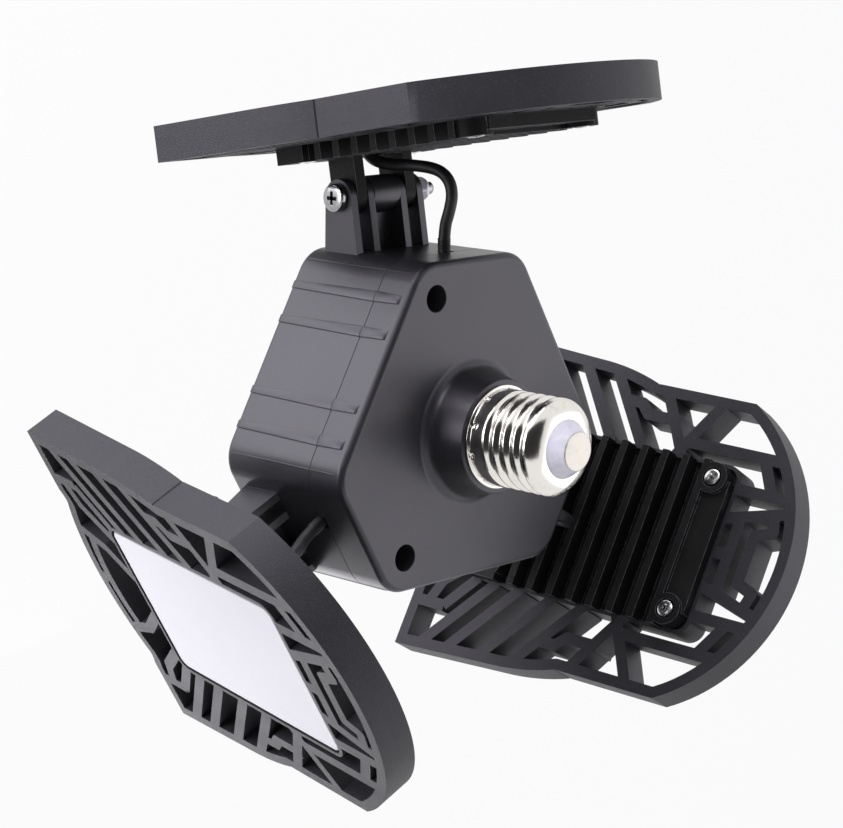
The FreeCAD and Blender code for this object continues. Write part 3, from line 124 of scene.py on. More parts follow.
class LightColours(bpy.types.PropertyGroup):
    """Colours of the light, linear."""

    housing: FloatVectorProperty(
        name="Housing", description="Satin black moulding of housing and cover",
        default=(0.022, 0.0215, 0.026, 1), **COLOUR)
    leaf: FloatVectorProperty(
        name="Leaf", description="Sand-textured black of the grilles",
        default=(0.023, 0.0225, 0.027, 1), **COLOUR)
    sink: FloatVectorProperty(
        name="Heat sink", description="Matt black of the finned heat sinks",
        default=(0.009, 0.009, 0.010, 1), **COLOUR)
    diffuser: FloatVectorProperty(
        name="Diffuser", description="Milky lamp cover",
        default=(0.42, 0.415, 0.465, 1), **COLOUR)
    plating: FloatVectorProperty(
        name="Plating", description="Nickel plate of the screw cap",
        default=(0.80, 0.77, 0.73, 1), **COLOUR)
    contact: FloatVectorProperty(
        name="Contact", description="Dull solder-coated centre contact",
        default=(0.52, 0.49, 0.45, 1), **COLOUR)
    insulator: FloatVectorProperty(
        name="Insulator", description="Milky ring round the centre contact",
        default=(0.80, 0.79, 0.91, 1), **COLOUR)
    cable: FloatVectorProperty(
        name="Cable", description="Jacket of the leaf cables",
        default=(0.009, 0.009, 0.011, 1), **COLOUR)


class LightSizes(bpy.types.PropertyGroup):
    """Sizes of the details that the frame leaves to the finish."""

    edge_round: FloatProperty(
        name="Edge rounding", description="Rounding of moulded edges",
        default=0.30 * MM, min=0, max=0.002, **LENGTH)
    sink_round: FloatProperty(
        name="Sink rounding", description="Rounding of cast edges on the heat sinks",
        default=0.25 * MM, min=0, max=0.002, **LENGTH)
    thread_pitch: FloatProperty(
        name="Thread pitch", description="Pitch of the rolled cap thread",
        default=3.63 * MM, min=0.001, max=0.01, **LENGTH)
    thread_crest: FloatProperty(
        name="Thread crest", description="Crest radius of the rolled cap thread",
        default=13.15 * MM, min=0.005, max=0.03, **LENGTH)
    thread_depth: FloatProperty(
        name="Thread depth", description="Crest to root of the rolled cap thread",
        default=1.0 * MM, min=0, max=0.003, **LENGTH)
    staking_marks: IntProperty(
        name="Staking marks", description="Punched marks round the skirt of the cap",
        default=10, min=0, max=24)
    cable_diameter: FloatProperty(
        name="Cable diameter", description="Diameter of a leaf cable",
        default=3.3 * MM, min=0.001, max=0.01, **LENGTH)
    grain: FloatProperty(
        name="Grain", description="Size of the sand texture on the leaves",
        default=0.35 * MM, min=0.00005, max=0.005, **LENGTH)


def colours():
    return bpy.context.scene.light_colours


def sizes():
    return bpy.context.scene.light_sizes


# ---------------- shader expressions

class Wire:
    """A socket of a node tree, with arithmetic that adds its Math nodes."""

    def __init__(self, tree, socket=None):
        self.tree = tree
        self.socket = socket

    def node(self, kind, settings=None, out=0, **inputs):
        """Any node: its type, its settings, and its inputs by name, or by number as in _0."""
        made = self.tree.nodes.new("ShaderNode" + kind)
        for key, value in (settings or {}).items():
            setattr(made, key, value)
        for key, value in inputs.items():
            label = key.replace("_", " ").strip()
            socket = made.inputs[int(label)] if label.isdigit() else made.inputs[label]
            if isinstance(value, Wire):
                self.tree.links.new(value.socket, socket)
            else:
                socket.default_value = value
        return Wire(self.tree, made.outputs[out])

    def math(self, operation, other):
        return self.node("Math", {"operation": operation}, _0=self, _1=other)

    def __add__(self, other):
        return self.math("ADD", other)

    def __mul__(self, other):
        return self.math("MULTIPLY", other)

    __radd__ = __add__
    __rmul__ = __mul__

    def step(self, low, high):
        """0 below low, 1 above high, smooth between."""
        return self.node("MapRange", {"interpolation_type": "SMOOTHSTEP"}, Value=self,
                         From_Min=low, From_Max=high)

    def mix(self, first, second):
        """Blend of two colours, with this wire as the factor."""
        return self.node("Mix", {"data_type": "RGBA"}, out=2, _0=self, _6=first, _7=second)


class Finish:
    """A material with one Principled shader, built from expressions."""

    def __init__(self, name, **constants):
        self.material = bpy.data.materials.new(name)
        self.material.use_nodes = True
        self.tree = self.material.node_tree
        self.shader = self.tree.nodes["Principled BSDF"]
        for key, value in constants.items():
            self.shader.inputs[key.replace("_", " ")].default_value = value
        self.node = Wire(self.tree).node
        self.place = self.node("TexCoord", out="Object")

    def noise(self, size, detail=2.0, roughness=0.5):
        """Noise whose features are about the given size in metres."""
        return self.node("TexNoise", Vector=self.place, Scale=1.0 / size, Detail=detail,
                         Roughness=roughness)

    def cells(self, size):
        return self.node("TexVoronoi", Vector=self.place, Scale=1.0 / size)

    def surface(self, colour, roughness, height, depth):
        """Feeds colour, roughness and a bump of a given depth, and gives the material."""
        bump = self.node("Bump", Height=height, Distance=depth)
        for socket, wire in (("Base Color", colour), ("Roughness", roughness), ("Normal", bump)):
            self.tree.links.new(wire.socket, self.shader.inputs[socket])
        return self.material


def shade(colour, factor):
    return tuple(channel * factor for channel in colour[:3]) + (1.0,)


# ---------------- finishes

BLACK_SHEEN = (0.93, 0.90, 1.0, 1)  # faint violet of the black parts' reflections
BRIGHT_ZINC = (0.78, 0.78, 0.78, 1)
# painted shade: the hinge bolts get the zinc darkened, standing in for the dark reflection on their
# heads
SHADED_BOLT_ZINC = (0.40, 0.40, 0.41, 1)
NUT_PLATE = (0.60, 0.60, 0.68, 1)
NUT_PLATE_DULL = (0.50, 0.50, 0.57, 1)
BLACKENED = (0.05, 0.05, 0.05, 1)
BLACKENED_WORN = (0.11, 0.11, 0.11, 1)


def moulded_black(name, colour, roughness, grain, grain_height, ior=1.6):
    """Moulded or painted black: fine grain, faint cloudiness, rubbed spots and a little dust."""
    finish = Finish(name, IOR=ior, Specular_Tint=BLACK_SHEEN)
    cloud = finish.noise(18 * MM, 3.0).step(0.30, 0.72)
    speck = finish.noise(grain * 2.2)
    rubbed = finish.noise(6 * MM, 4.0, 0.6).step(0.60, 0.78)
    tone = cloud.mix(shade(colour, 0.90), shade(colour, 1.10))
    tone = (speck.step(0.52, 0.80) * 0.40).mix(tone, shade(colour, 2.4))
    rough = cloud * 0.05 + rubbed * -0.05 + speck * 0.10 + (roughness - 0.05)
    grains = finish.noise(grain, roughness=0.55)
    swell = finish.noise(9 * MM, 1.0)
    return finish.surface(tone, rough, grains + swell * 2.0, grain_height)


def leaf_black():
    return moulded_black("leaf_sand_black", colours().leaf, 0.50, sizes().grain, 0.110 * MM,
                         ior=1.45)


def housing_black():
    return moulded_black("housing_satin_black", colours().housing, 0.31, 0.25 * MM, 0.008 * MM)


def cover_black():
    return moulded_black("cover_satin_black", colours().housing, 0.33, 0.22 * MM, 0.008 * MM)


def sink_black():
    """Black finish over cast metal: matt and pitted, with a painted highlight along the rounded
    edges.
    """
    colour = colours().sink
    finish = Finish("sink_matt_black", IOR=1.28)
    pits = finish.cells(0.55 * MM)
    coarse = finish.noise(1.1 * MM, 4.0, 0.65)
    patch = finish.noise(14 * MM, 3.0).step(0.35, 0.70)
    edge = finish.node("Attribute", {"attribute_name": EDGE_HIGHLIGHT}, out=2)
    tone = patch.mix(shade(colour, 0.85), shade(colour, 1.25))
    tone = (coarse.step(0.62, 0.75) * 0.35).mix(tone, shade(colour, 2.6))
    # painted highlight: the narrow faces along rounded edges are painted much paler, in patches
    tone = (edge * coarse.step(0.30, 0.55) * 0.9).mix(tone, shade(colour, 22.0))
    rough = coarse * 0.25 + patch * 0.06 + 0.42
    return finish.surface(tone, rough, coarse + pits * 0.6, 0.06 * MM)


def nickel(name, colour, roughness):
    """Bright plated sheet with fine drawing marks, haze and small dings."""
    finish = Finish(name, Metallic=1.0)
    haze = finish.noise(3.5 * MM, 4.0, 0.6)
    fine = finish.noise(0.35 * MM, 3.0, 0.6)
    patch = haze.step(0.45, 0.80)
    tone = (patch * 0.6).mix(shade(colour, 1.0), shade(colour, 0.80))
    rough = haze * 0.12 + fine * 0.06 + (roughness - 0.06)
    return finish.surface(tone, rough, haze * 0.6 + fine * 0.15, 0.05 * MM)


def milky_diffuser():
    """Opal plate: soft inner glow of the white board behind, a glossy skin and faint dust."""
    colour = colours().diffuser
    finish = Finish("diffuser_opal", IOR=1.30, Subsurface_Weight=0.25,
                    Subsurface_Scale=2.0 * MM, Subsurface_Radius=(1.0, 1.0, 1.1))
    cloud = finish.noise(26 * MM).step(0.25, 0.75)
    dust = finish.noise(0.9 * MM, 3.0, 0.6).step(0.66, 0.80)
    tone = cloud.mix(shade(colour, 0.97), shade(colour, 1.03))
    tone = (dust * 0.10).mix(tone, shade(colour, 0.75))
    rough = dust * 0.12 + cloud * 0.05 + 0.18
    return finish.surface(tone, rough, finish.noise(11 * MM, 1.0), 0.03 * MM)


def insulator_glass():
    """Milky glass of the cap's insulating ring."""
    colour = colours().insulator
    finish = Finish("cap_insulator_opal", IOR=1.50, Coat_Roughness=0.1)
    cloud = finish.noise(2.5 * MM, 3.0).step(0.3, 0.7)
    tone = cloud.mix(shade(colour, 0.93), shade(colour, 1.05))
    return finish.surface(tone, cloud * 0.08 + 0.22, finish.noise(1.2 * MM), 0.02 * MM)


def zinc_screw(name, colour):
    """Zinc plate with a slight yellow-blue cast and tool marks."""
    finish = Finish(name, Metallic=1.0)
    cast = finish.noise(1.6 * MM, 3.0).step(0.35, 0.7)
    fine = finish.noise(0.22 * MM, 3.0, 0.65)
    tone = cast.mix(shade(colour, 1.0), shade(colour, 0.82))
    return finish.surface(tone, fine * 0.10 + cast * 0.05 + 0.14, fine, 0.006 * MM)


def satin_nut():
    """Pale satin plate of the lock nuts."""
    finish = Finish("nut_satin", Metallic=0.75)
    cast = finish.noise(2.2 * MM).step(0.3, 0.7)
    fine = finish.noise(0.25 * MM)
    tone = cast.mix(NUT_PLATE, NUT_PLATE_DULL)
    return finish.surface(tone, fine * 0.06 + cast * 0.04 + 0.30, fine, 0.004 * MM)


def dark_screw():
    """Blackened steel of the inner screws."""
    finish = Finish("screw_blackened", Metallic=0.8)
    fine = finish.noise(0.25 * MM, 3.0, 0.65)
    tone = fine.step(0.4, 0.7).mix(BLACKENED, BLACKENED_WORN)
    return finish.surface(tone, fine * 0.2 + 0.3, fine, 0.02 * MM)


def cable_jacket():
    """Soft black jacket of the cables and their sleeves."""
    colour = colours().cable
    finish = Finish("cable_jacket_black", IOR=1.5)
    soft = finish.noise(3.0 * MM, 3.0)
    fine = finish.noise(0.3 * MM)
    tone = soft.step(0.3, 0.7).mix(shade(colour, 0.85), shade(colour, 1.25))
    rough = soft * 0.12 + fine * 0.06 + 0.42
    return finish.surface(tone, rough, fine + soft * 0.8, 0.02 * MM)


def circuit_board(name, mask, trace):
    """Solder mask over copper, with faint tracks."""
    finish = Finish(name, IOR=1.5)
    tracks = finish.cells(2.4 * MM).step(0.30, 0.34)
    weave = finish.noise(0.4 * MM)
    tone = (tracks * 0.5).mix(mask, trace)
    return finish.surface(tone, weave * 0.12 + 0.30, tracks + weave * 0.2, 0.03 * MM)


def plain_finish(name, colour, roughness, size):
    """Small inner pieces: one colour with a slight cloud and grain."""
    finish = Finish(name)
    cloud = finish.noise(size * 6, 3.0).step(0.3, 0.7)
    grain = finish.noise(size)
    tone = cloud.mix(shade(colour, 0.88), shade(colour, 1.12))
    return finish.surface(tone, grain * 0.15 + (roughness - 0.07), grain, 0.02 * MM)


# ---------------- modelling helpers

SIDE_KINKS = ((45.6, 26.5), (45.6, 60.5))  # across and along, on the rim of a leaf
SEAM_WIDTH = 0.50 * MM  # side of the square wedge that cuts a seam
SEAM_REACH = 30 * MM  # length of the wedge, past both faces
SEAM_MIDDLE = 20 * MM  # middle of the wedge, from the hinge
SEAM_OUTSET = 0.05  # wedge's axis outside the rim, in millimetres
KINK_REACH = 0.3 * MM  # how near to a kink an edge counts as its crease
UPRIGHT = 0.9  # share of a crease's length that lies across the leaf
FLAT = math.radians(0.5)  # turn under which two faces are merged
# names the edge faces that get the painted highlight
EDGE_HIGHLIGHT = "painted_edge_highlight"  # attribute on the heat sinks that their finish reads
RECESS_TAPER = (0.42, 0.62)  # foot of a cross recess's arm as a share of its top
MERGE = 1e-6


def deselect():
    if bpy.context.object and bpy.context.object.mode != "OBJECT":
        bpy.ops.object.mode_set(mode="OBJECT")
    bpy.ops.object.select_all(action="DESELECT")


def activate(piece):
    deselect()
    piece.select_set(True)
    bpy.context.view_layer.objects.active = piece


def apply_place(piece):
    """Bakes the object's place into its mesh."""
    activate(piece)
    bpy.ops.object.transform_apply(location=True, rotation=True, scale=True)


def paint(piece, material):
    piece.data.materials.clear()
    piece.data.materials.append(material)


def move_mesh(piece, matrix):
    """Carries a mesh to its place in the row frame, with its object left at the origin."""
    piece.data.transform(matrix)
    piece.data.update()


def modifier(piece, kind, **settings):
    """Adds a modifier and applies it."""
    activate(piece)
    made = piece.modifiers.new(kind.lower(), kind)
    for key, value in settings.items():
        setattr(made, key, value)
    bpy.ops.object.modifier_apply(modifier=made.name)


def recalculate(piece, merge=MERGE):
    """Merges doubles and turns the faces outwards."""
    activate(piece)
    bpy.ops.object.mode_set(mode="EDIT")
    bpy.ops.mesh.select_all(action="SELECT")
    bpy.ops.mesh.remove_doubles(threshold=merge)
    bpy.ops.mesh.normals_make_consistent(inside=False)
    bpy.ops.object.mode_set(mode="OBJECT")


def smooth(piece, degrees=35):
    activate(piece)
    bpy.ops.object.shade_smooth_by_angle(angle=math.radians(degrees))


def unit_cube():
    deselect()
    bpy.ops.mesh.primitive_cube_add(size=1)
    return bpy.context.object


def join(first, *others):
    deselect()
    for piece in (first, *others):
        piece.select_set(True)
    bpy.context.view_layer.objects.active = first
    bpy.ops.object.join()
    return first


def new_object(name, data):
    made = bpy.data.objects.new(name, data)
    bpy.context.collection.objects.link(made)
    return made


def copy_piece(piece, name):
    return new_object(name, piece.data.copy())


def z_towards(*direction):
    """Turn that points Z along a direction."""
    return Vector(direction).to_track_quat("Z", "Y").to_matrix().to_4x4()


def bevel(piece, width, degrees, segments=2):
    """Rounds the edges that turn by more than an angle."""
    modifier(piece, "BEVEL", width=width, segments=segments, limit_method="ANGLE",
             angle_limit=math.radians(degrees))


def carve(piece, cutter, operation="DIFFERENCE", **settings):
    """Cuts a piece with another one, which is used up."""
    modifier(piece, "BOOLEAN", operation=operation, object=cutter, solver="EXACT", **settings)
    bpy.data.objects.remove(cutter)


def mark_edges(piece, width):
    """Writes 1 on the narrow faces along rounded edges, where the finish paints a highlight."""
    mesh = piece.data
    mark = mesh.attributes.new(EDGE_HIGHLIGHT, "FLOAT", "FACE")
    for face in mesh.polygons:
        corners = [mesh.vertices[i].co for i in face.vertices]
        longest = max((a - b).length for a, b in zip(corners, corners[1:] + corners[:1]))
        mark.data[face.index].value = 1.0 if face.area < width * longest else 0.0


def cut_seams(piece, leaf):
    """Cuts the fine seam across the rim on both sides of a leaf."""
    cutters = []
    for sign in (-1, 1):
        wedge = unit_cube()
        wedge.scale = (SEAM_WIDTH, SEAM_WIDTH, SEAM_REACH)
        wedge.rotation_euler = (0, 0, math.pi / 4)
        across, along = SIDE_KINKS[0]
        wedge.location = (sign * (across + SEAM_OUTSET) * MM, along * MM, SEAM_MIDDLE)
        apply_place(wedge)
        move_mesh(wedge, leaf_matrix(leaf))
        cutters.append(wedge)
    carve(piece, join(*cutters))


def mark_creases(piece, leaf):
    """Keeps the kinks of a leaf's sides sharp."""
    local = leaf_matrix(leaf).inverted()
    mesh = piece.data
    for edge in mesh.edges:
        start, end = [local @ mesh.vertices[i].co for i in edge.vertices]
        if abs((end - start).z) < UPRIGHT * (end - start).length:
            continue
        for across, along in SIDE_KINKS:
            beside = abs(abs(start.x) - across * MM) < KINK_REACH
            if beside and abs(start.y - along * MM) < KINK_REACH:
                edge.use_edge_sharp = True


def dressed_copy(node, name, rounding, sharp=32, leaf=None):
    """Merged copy of a node's mesh with rounded edges, and with a leaf's seams and kinks."""
    piece = copy_piece(frame["nodes"][node], name)
    activate(piece)
    bpy.ops.object.mode_set(mode="EDIT")
    bpy.ops.mesh.select_all(action="SELECT")
    bpy.ops.mesh.remove_doubles(threshold=MERGE)
    bpy.ops.mesh.dissolve_limited(angle_limit=FLAT)
    bpy.ops.object.mode_set(mode="OBJECT")
    bevel(piece, rounding, sharp)
    if leaf:
        cut_seams(piece, leaf)
    smooth(piece)
    if leaf:
        mark_creases(piece, leaf)
    modifier(piece, "WEIGHTED_NORMAL", keep_sharp=True, weight=100)
    return piece


def finish_piece(piece, node, material, body):
    """Paints a piece, hides the node it stands for, and attaches it to the body it rides on."""
    paint(piece, material)
    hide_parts(node)
    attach(piece, body)


def recess_cross(piece, level, reach, width, depth):
    """Sinks a cross recess with tapering arms into a head whose top lies at a level on Z."""
    cutters = []
    for turn in (0, math.pi / 2):
        bar = unit_cube()
        bar.scale = (reach * 2, width, depth * 2)
        apply_place(bar)
        for vertex in bar.data.vertices:
            if vertex.co.z < 0:
                vertex.co.x *= RECESS_TAPER[0]
                vertex.co.y *= RECESS_TAPER[1]
        bar.rotation_euler = (0, 0, turn)
        bar.location = (0, 0, level)
        apply_place(bar)
        cutters.append(bar)
    cutter = join(*cutters)
    recalculate(cutter)
    carve(piece, cutter, use_self=True)


# ---------------- turned pieces

NEAR_AXIS = 0.00001  # radius at which a turned profile meets its axis
SPIN_MERGE = 2e-7  # joins the last turn of a spin to the first
ROOT = 0.84  # root of a screw's thread as a share of its crest
RECESS = (0.68, 0.34)  # reach and width of a cross recess, of the head's radius


def spun_shell(name, profile, steps):
    """Surface of revolution about Z from a profile of (radius, height), modelled by a spin."""
    deselect()
    mesh = bpy.data.meshes.new(name)
    mesh.from_pydata([(r, 0, z) for r, z in profile],
                     [(i, i + 1) for i in range(len(profile) - 1)], [])
    piece = new_object(name, mesh)
    activate(piece)
    bpy.ops.object.mode_set(mode="EDIT")
    bpy.ops.mesh.select_all(action="SELECT")
    bpy.ops.mesh.spin(steps=steps, angle=math.tau, center=(0, 0, 0), axis=(0, 0, 1))
    recalculate(piece, SPIN_MERGE)
    return piece


def arc_points(centre, radius, start, end, count):
    """Points of an arc in (radius, height), from one angle to another in degrees."""
    made = []
    for i in range(count + 1):
        angle = math.radians(start + (end - start) * i / count)
        made.append((centre[0] + radius * math.cos(angle), centre[1] + radius * math.sin(angle)))
    return made


def even_points(start, end, count):
    return [(start[0] + (end[0] - start[0]) * i / count, start[1] + (end[1] - start[1]) * i / count)
            for i in range(count + 1)]


# ---------------- screw cap

SKIRT = 13.2 * MM
FLANGE = 14.1 * MM
CAP_SHEET = 0.32 * MM
SKIRT_TOP = CAP_BASE + 5.2 * MM  # where the rolled thread starts
THREAD_FOOT = CAP_BASE + 4.4 * MM  # level from which the turns are counted
THREAD_PHASE = 0.72  # share of a turn from there to a crest
CREST_SHARPNESS = 0.85  # under 1, a crest is wider than a root
RUN_IN = 0.9 * MM  # over which the thread rises from the skirt
RUN_OUT = 1.3 * MM
SHELL_STEPS = 256  # columns round the axis
THREAD_ROWS = 84
SHOULDER = CAP_MOUTH - 5.4 * MM  # where the rounded end starts
END_SWEEP = math.radians(66)  # the end is an arc of an ellipse, short of level
END_ROWS = 24
MOUTH_LEVEL = CAP_MOUTH - 1.85 * MM  # where the sheet ends at the insulator
MOUTH = 7.9 * MM
FIRST_MARK = math.radians(14)  # angle of one staking mark
MARK_LEVEL = CAP_BASE + 1.40 * MM
MARK_REACH = 0.58 * MM
MARK_DEPTH = 0.46 * MM
MARK_LIP = 0.10 * MM  # height of the lip pushed up round a mark
CONTACT_RADIUS = 5.2 * MM
CONTACT_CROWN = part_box("cap_contact")[1].z
CONTACT_BASE = CONTACT_CROWN - 0.62 * MM


class LIGHT_OT_screw_cap(bpy.types.Operator):
    """Rolled screw cap with its helical thread, staking marks, insulator and contact"""

    bl_idname = "light.screw_cap"
    bl_label = "Screw cap"

    def thread_radius(self, angle, height):
        """Radius of the rolled sheet at an angle and height, with the thread fading at its ends."""
        settings = sizes()
        turns = (height - THREAD_FOOT) / settings.thread_pitch - angle / math.tau
        wave = 0.5 + 0.5 * math.cos(math.tau * (turns - THREAD_PHASE))
        wave = wave ** CREST_SHARPNESS
        run_in = min(max((height - SKIRT_TOP) / RUN_IN, 0), 1)
        run_out = min(max((SHOULDER - height) / RUN_OUT, 0), 1)
        share = min(run_in, run_out)
        share = share * share * (3 - 2 * share)
        return settings.thread_crest - settings.thread_depth * (1 - wave) * share

    def marked_radius(self, radius, angle, height):
        """Radius of the skirt with its staking marks, each with a lip round it."""
        step = math.tau / sizes().staking_marks
        offset = (angle - FIRST_MARK + step / 2) % step - step / 2
        reach = math.hypot(offset * SKIRT, height - MARK_LEVEL) / MARK_REACH
        lip = math.exp(-(reach - 1.7) ** 2 * 3)
        return radius - MARK_DEPTH * math.exp(-reach ** 2) + MARK_LIP * lip

    def make_shell(self):
        """Sheet with a curled flange, marked skirt, helical thread and rounded end."""
        crest = sizes().thread_crest
        marks = sizes().staking_marks
        lip = CAP_BASE + 0.35 * MM
        profile = [(SKIRT - 0.35 * MM, CAP_BASE + 0.02 * MM)]
        profile += arc_points((FLANGE - 0.35 * MM, lip), 0.33 * MM, -90, 90, 8)
        profile += arc_points((SKIRT + 0.35 * MM, lip + 0.68 * MM), 0.35 * MM, 270, 180, 4)
        profile += even_points((SKIRT, lip + 1.0 * MM), (SKIRT, SKIRT_TOP), 20)[1:]
        profile += even_points((crest, SKIRT_TOP + 0.1 * MM), (crest, SHOULDER), THREAD_ROWS)
        wide = (crest - MOUTH) / (1 - math.cos(END_SWEEP))
        high = (MOUTH_LEVEL - SHOULDER) / math.sin(END_SWEEP)
        for i in range(1, END_ROWS + 1):
            angle = END_SWEEP * i / END_ROWS
            profile.append((crest - wide * (1 - math.cos(angle)),
                            SHOULDER + high * math.sin(angle)))
        shell = spun_shell("cap_threaded_shell", profile, SHELL_STEPS)
        for vertex in shell.data.vertices:
            x, y, z = vertex.co
            angle = math.atan2(y, x) % math.tau
            radius = math.hypot(x, y)
            wanted = radius
            if SKIRT_TOP < z < SHOULDER + 0.01 * MM:
                wanted = self.thread_radius(angle, z)
            elif z < SKIRT_TOP and SKIRT - 0.05 * MM < radius < SKIRT + 0.2 * MM and marks:
                wanted = self.marked_radius(radius, angle, z)
            scale = wanted / radius
            vertex.co = (x * scale, y * scale, z)
        modifier(shell, "SOLIDIFY", thickness=CAP_SHEET, offset=-1)
        smooth(shell, 50)
        return shell

    def make_insulator(self):
        """Ring between the end of the sheet and the contact, closed below."""
        profile = [(NEAR_AXIS, MOUTH_LEVEL - 2.2 * MM), (MOUTH - 1.2 * MM, MOUTH_LEVEL - 2.2 * MM),
                   (MOUTH - 0.10 * MM, MOUTH_LEVEL - 0.5 * MM),
                   (MOUTH - 0.06 * MM, MOUTH_LEVEL + 0.10 * MM)]
        profile += even_points((MOUTH - 0.22 * MM, MOUTH_LEVEL + 0.42 * MM),
                               (CONTACT_RADIUS + 0.20 * MM, CONTACT_BASE - 0.15 * MM), 8)
        profile += [(CONTACT_RADIUS + 0.05 * MM, CONTACT_BASE),
                    (CONTACT_RADIUS - 0.5 * MM, CONTACT_BASE - 0.02 * MM),
                    (CONTACT_RADIUS - 0.9 * MM, CONTACT_BASE - 0.9 * MM),
                    (NEAR_AXIS, CONTACT_BASE - 1.0 * MM)]
        insulator = spun_shell("cap_insulator_ring", profile, 96)
        smooth(insulator, 40)
        return insulator

    def make_contact(self):
        """Shallow dome with a rolled edge."""
        edge = CONTACT_RADIUS - 0.14 * MM
        foot = CONTACT_BASE + 0.25 * MM
        profile = [(NEAR_AXIS, CONTACT_BASE - 0.8 * MM),
                   (CONTACT_RADIUS - 0.8 * MM, CONTACT_BASE - 0.7 * MM),
                   (CONTACT_RADIUS - 0.15 * MM, CONTACT_BASE - 0.02 * MM)]
        profile += arc_points((edge, CONTACT_BASE + 0.12 * MM), 0.13 * MM, -60, 70, 6)
        rows = 14
        for i in range(1, rows + 1):
            share = i / rows
            profile.append((edge * (1 - share) + NEAR_AXIS,
                            foot + (CONTACT_CROWN - foot) * math.sin(share * math.pi / 2)))
        contact = spun_shell("cap_contact_dome", profile, 96)
        smooth(contact, 40)
        return contact

    def execute(self, context):
        plating = nickel("cap_nickel", colours().plating, 0.13)
        dull = nickel("contact_nickel", colours().contact, 0.26)
        for piece, node, finish, slot in (
                (self.make_shell(), "cap_shell", plating, "cap_metal"),
                (self.make_insulator(), "cap_insulator", insulator_glass(), "cap_insulator"),
                (self.make_contact(), "cap_contact", dull, "contact_metal")):
            finish_piece(piece, node, finish, "housing")
        return {"FINISHED"}


# ---------------- housing

# Raised bars along the moulding: level from the cover face, half width and top at each station.
# The strips of a long side are measured from the axis, the thin ridges from a corner's middle.
STRIPS = (-20.7, -10.5, 10.5, 20.7)
STRIP_FOOT = 38.8
COVER_STRIP = ((-2.8, 1.22, 40.40), (-3.6, 1.27, 40.84), (-12.05, 1.5, 40.84))
FRONT_STRIP = ((-12.15, 1.5, 40.84), (-43.0, 1.08, 40.84), (-43.7, 1.08, 40.76),
               (-44.3, 1.07, 40.47), (-44.75, 1.06, 40.05), (-45.05, 1.05, 39.5))
CORNER = (25.5, 30.4)  # across and out from the axis
RIDGE_TURN = 19  # degrees round the corner from the long side
RIDGE_FOOT = 9.2
COVER_RIDGE = ((-2.9, 0.06, 10.0), (-4.6, 0.22, 10.16), (-12.05, 0.24, 10.16))
FRONT_RIDGE = ((-12.15, 0.24, 10.16), (-42.6, 0.24, 10.16), (-43.3, 0.20, 9.9))
BAR_ROUND = 0.10 * MM


class LIGHT_OT_housing(bpy.types.Operator):
    """Front housing and rear cover with rounded moulded edges, raised strips and ridges"""

    bl_idname = "light.housing"
    bl_label = "Housing"

    def bar(self, corners, faces, place, foot, stations):
        """Adds the corners and faces of one bar, in millimetres before its place."""
        first = len(corners)
        for level, half, top in stations:
            for x, y in ((-half, foot), (half, foot), (half, top), (-half, top)):
                corners.append(place @ Vector((x * MM, y * MM, level * MM + COVER_FACE)))
        last = first + 4 * (len(stations) - 1)
        faces += [(first, first + 1, first + 2, first + 3), (last + 3, last + 2, last + 1, last)]
        for row in range(first, last, 4):
            for side in range(4):
                after = (side + 1) % 4
                faces.append((row + side, row + 4 + side, row + 4 + after, row + after))

    def bars(self, name, strip, ridge):
        """The raised strips and corner ridges of one moulding."""
        corners, faces = [], []
        for leaf in LEAVES:
            side = side_turn(leaf, math.pi / 3)
            for middle in STRIPS:
                place = side @ Matrix.Translation((middle * MM, 0, 0))
                self.bar(corners, faces, place, STRIP_FOOT, strip)
            for sign in (-1, 1):
                place = side @ Matrix.Translation((sign * CORNER[0] * MM, CORNER[1] * MM, 0))
                place = place @ Matrix.Rotation(math.radians(-sign * RIDGE_TURN), 4, "Z")
                self.bar(corners, faces, place, RIDGE_FOOT, ridge)
        mesh = bpy.data.meshes.new(name)
        mesh.from_pydata(corners, [], faces)
        piece = new_object(name, mesh)
        recalculate(piece)
        bevel(piece, BAR_ROUND, 50)
        smooth(piece, 40)
        return piece

    def execute(self, context):
        rounding = sizes().edge_round
        front = dressed_copy("front_housing", "housing_front_moulding", rounding)
        join(front, self.bars("front_bars", FRONT_STRIP, FRONT_RIDGE))
        finish_piece(front, "front_housing", housing_black(), "housing")
        cover = dressed_copy("rear_cover", "housing_rear_moulding", rounding)
        join(cover, self.bars("cover_bars", COVER_STRIP, COVER_RIDGE))
        finish_piece(cover, "rear_cover", cover_black(), "housing")
        return {"FINISHED"}


# ---------------- leaves

DIFFUSER_ROUND = 0.25 * MM


class LIGHT_OT_leaves(bpy.types.Operator):
    """Grilles, heat sinks and diffusers of the three leaves"""

    bl_idname = "light.leaves"
    bl_label = "Leaves"

    def execute(self, context):
        grille = leaf_black()
        sink = sink_black()
        opal = milky_diffuser()
        for leaf in LEAVES:
            body = "leaf_%d" % leaf
            node = "leaf_frame_%d" % leaf
            piece = dressed_copy(node, "grille_%d" % leaf, sizes().edge_round, leaf=leaf)
            finish_piece(piece, node, grille, body)
            node = "heat_sink_%d" % leaf
            piece = dressed_copy(node, "finned_sink_%d" % leaf, sizes().sink_round)
            mark_edges(piece, sizes().sink_round)
            finish_piece(piece, node, sink, body)
            node = "diffuser_%d" % leaf
            piece = dressed_copy(node, "opal_cover_%d" % leaf, DIFFUSER_ROUND, sharp=50)
            finish_piece(piece, node, opal, body)
        return {"FINISHED"}


# ---------------- fasteners

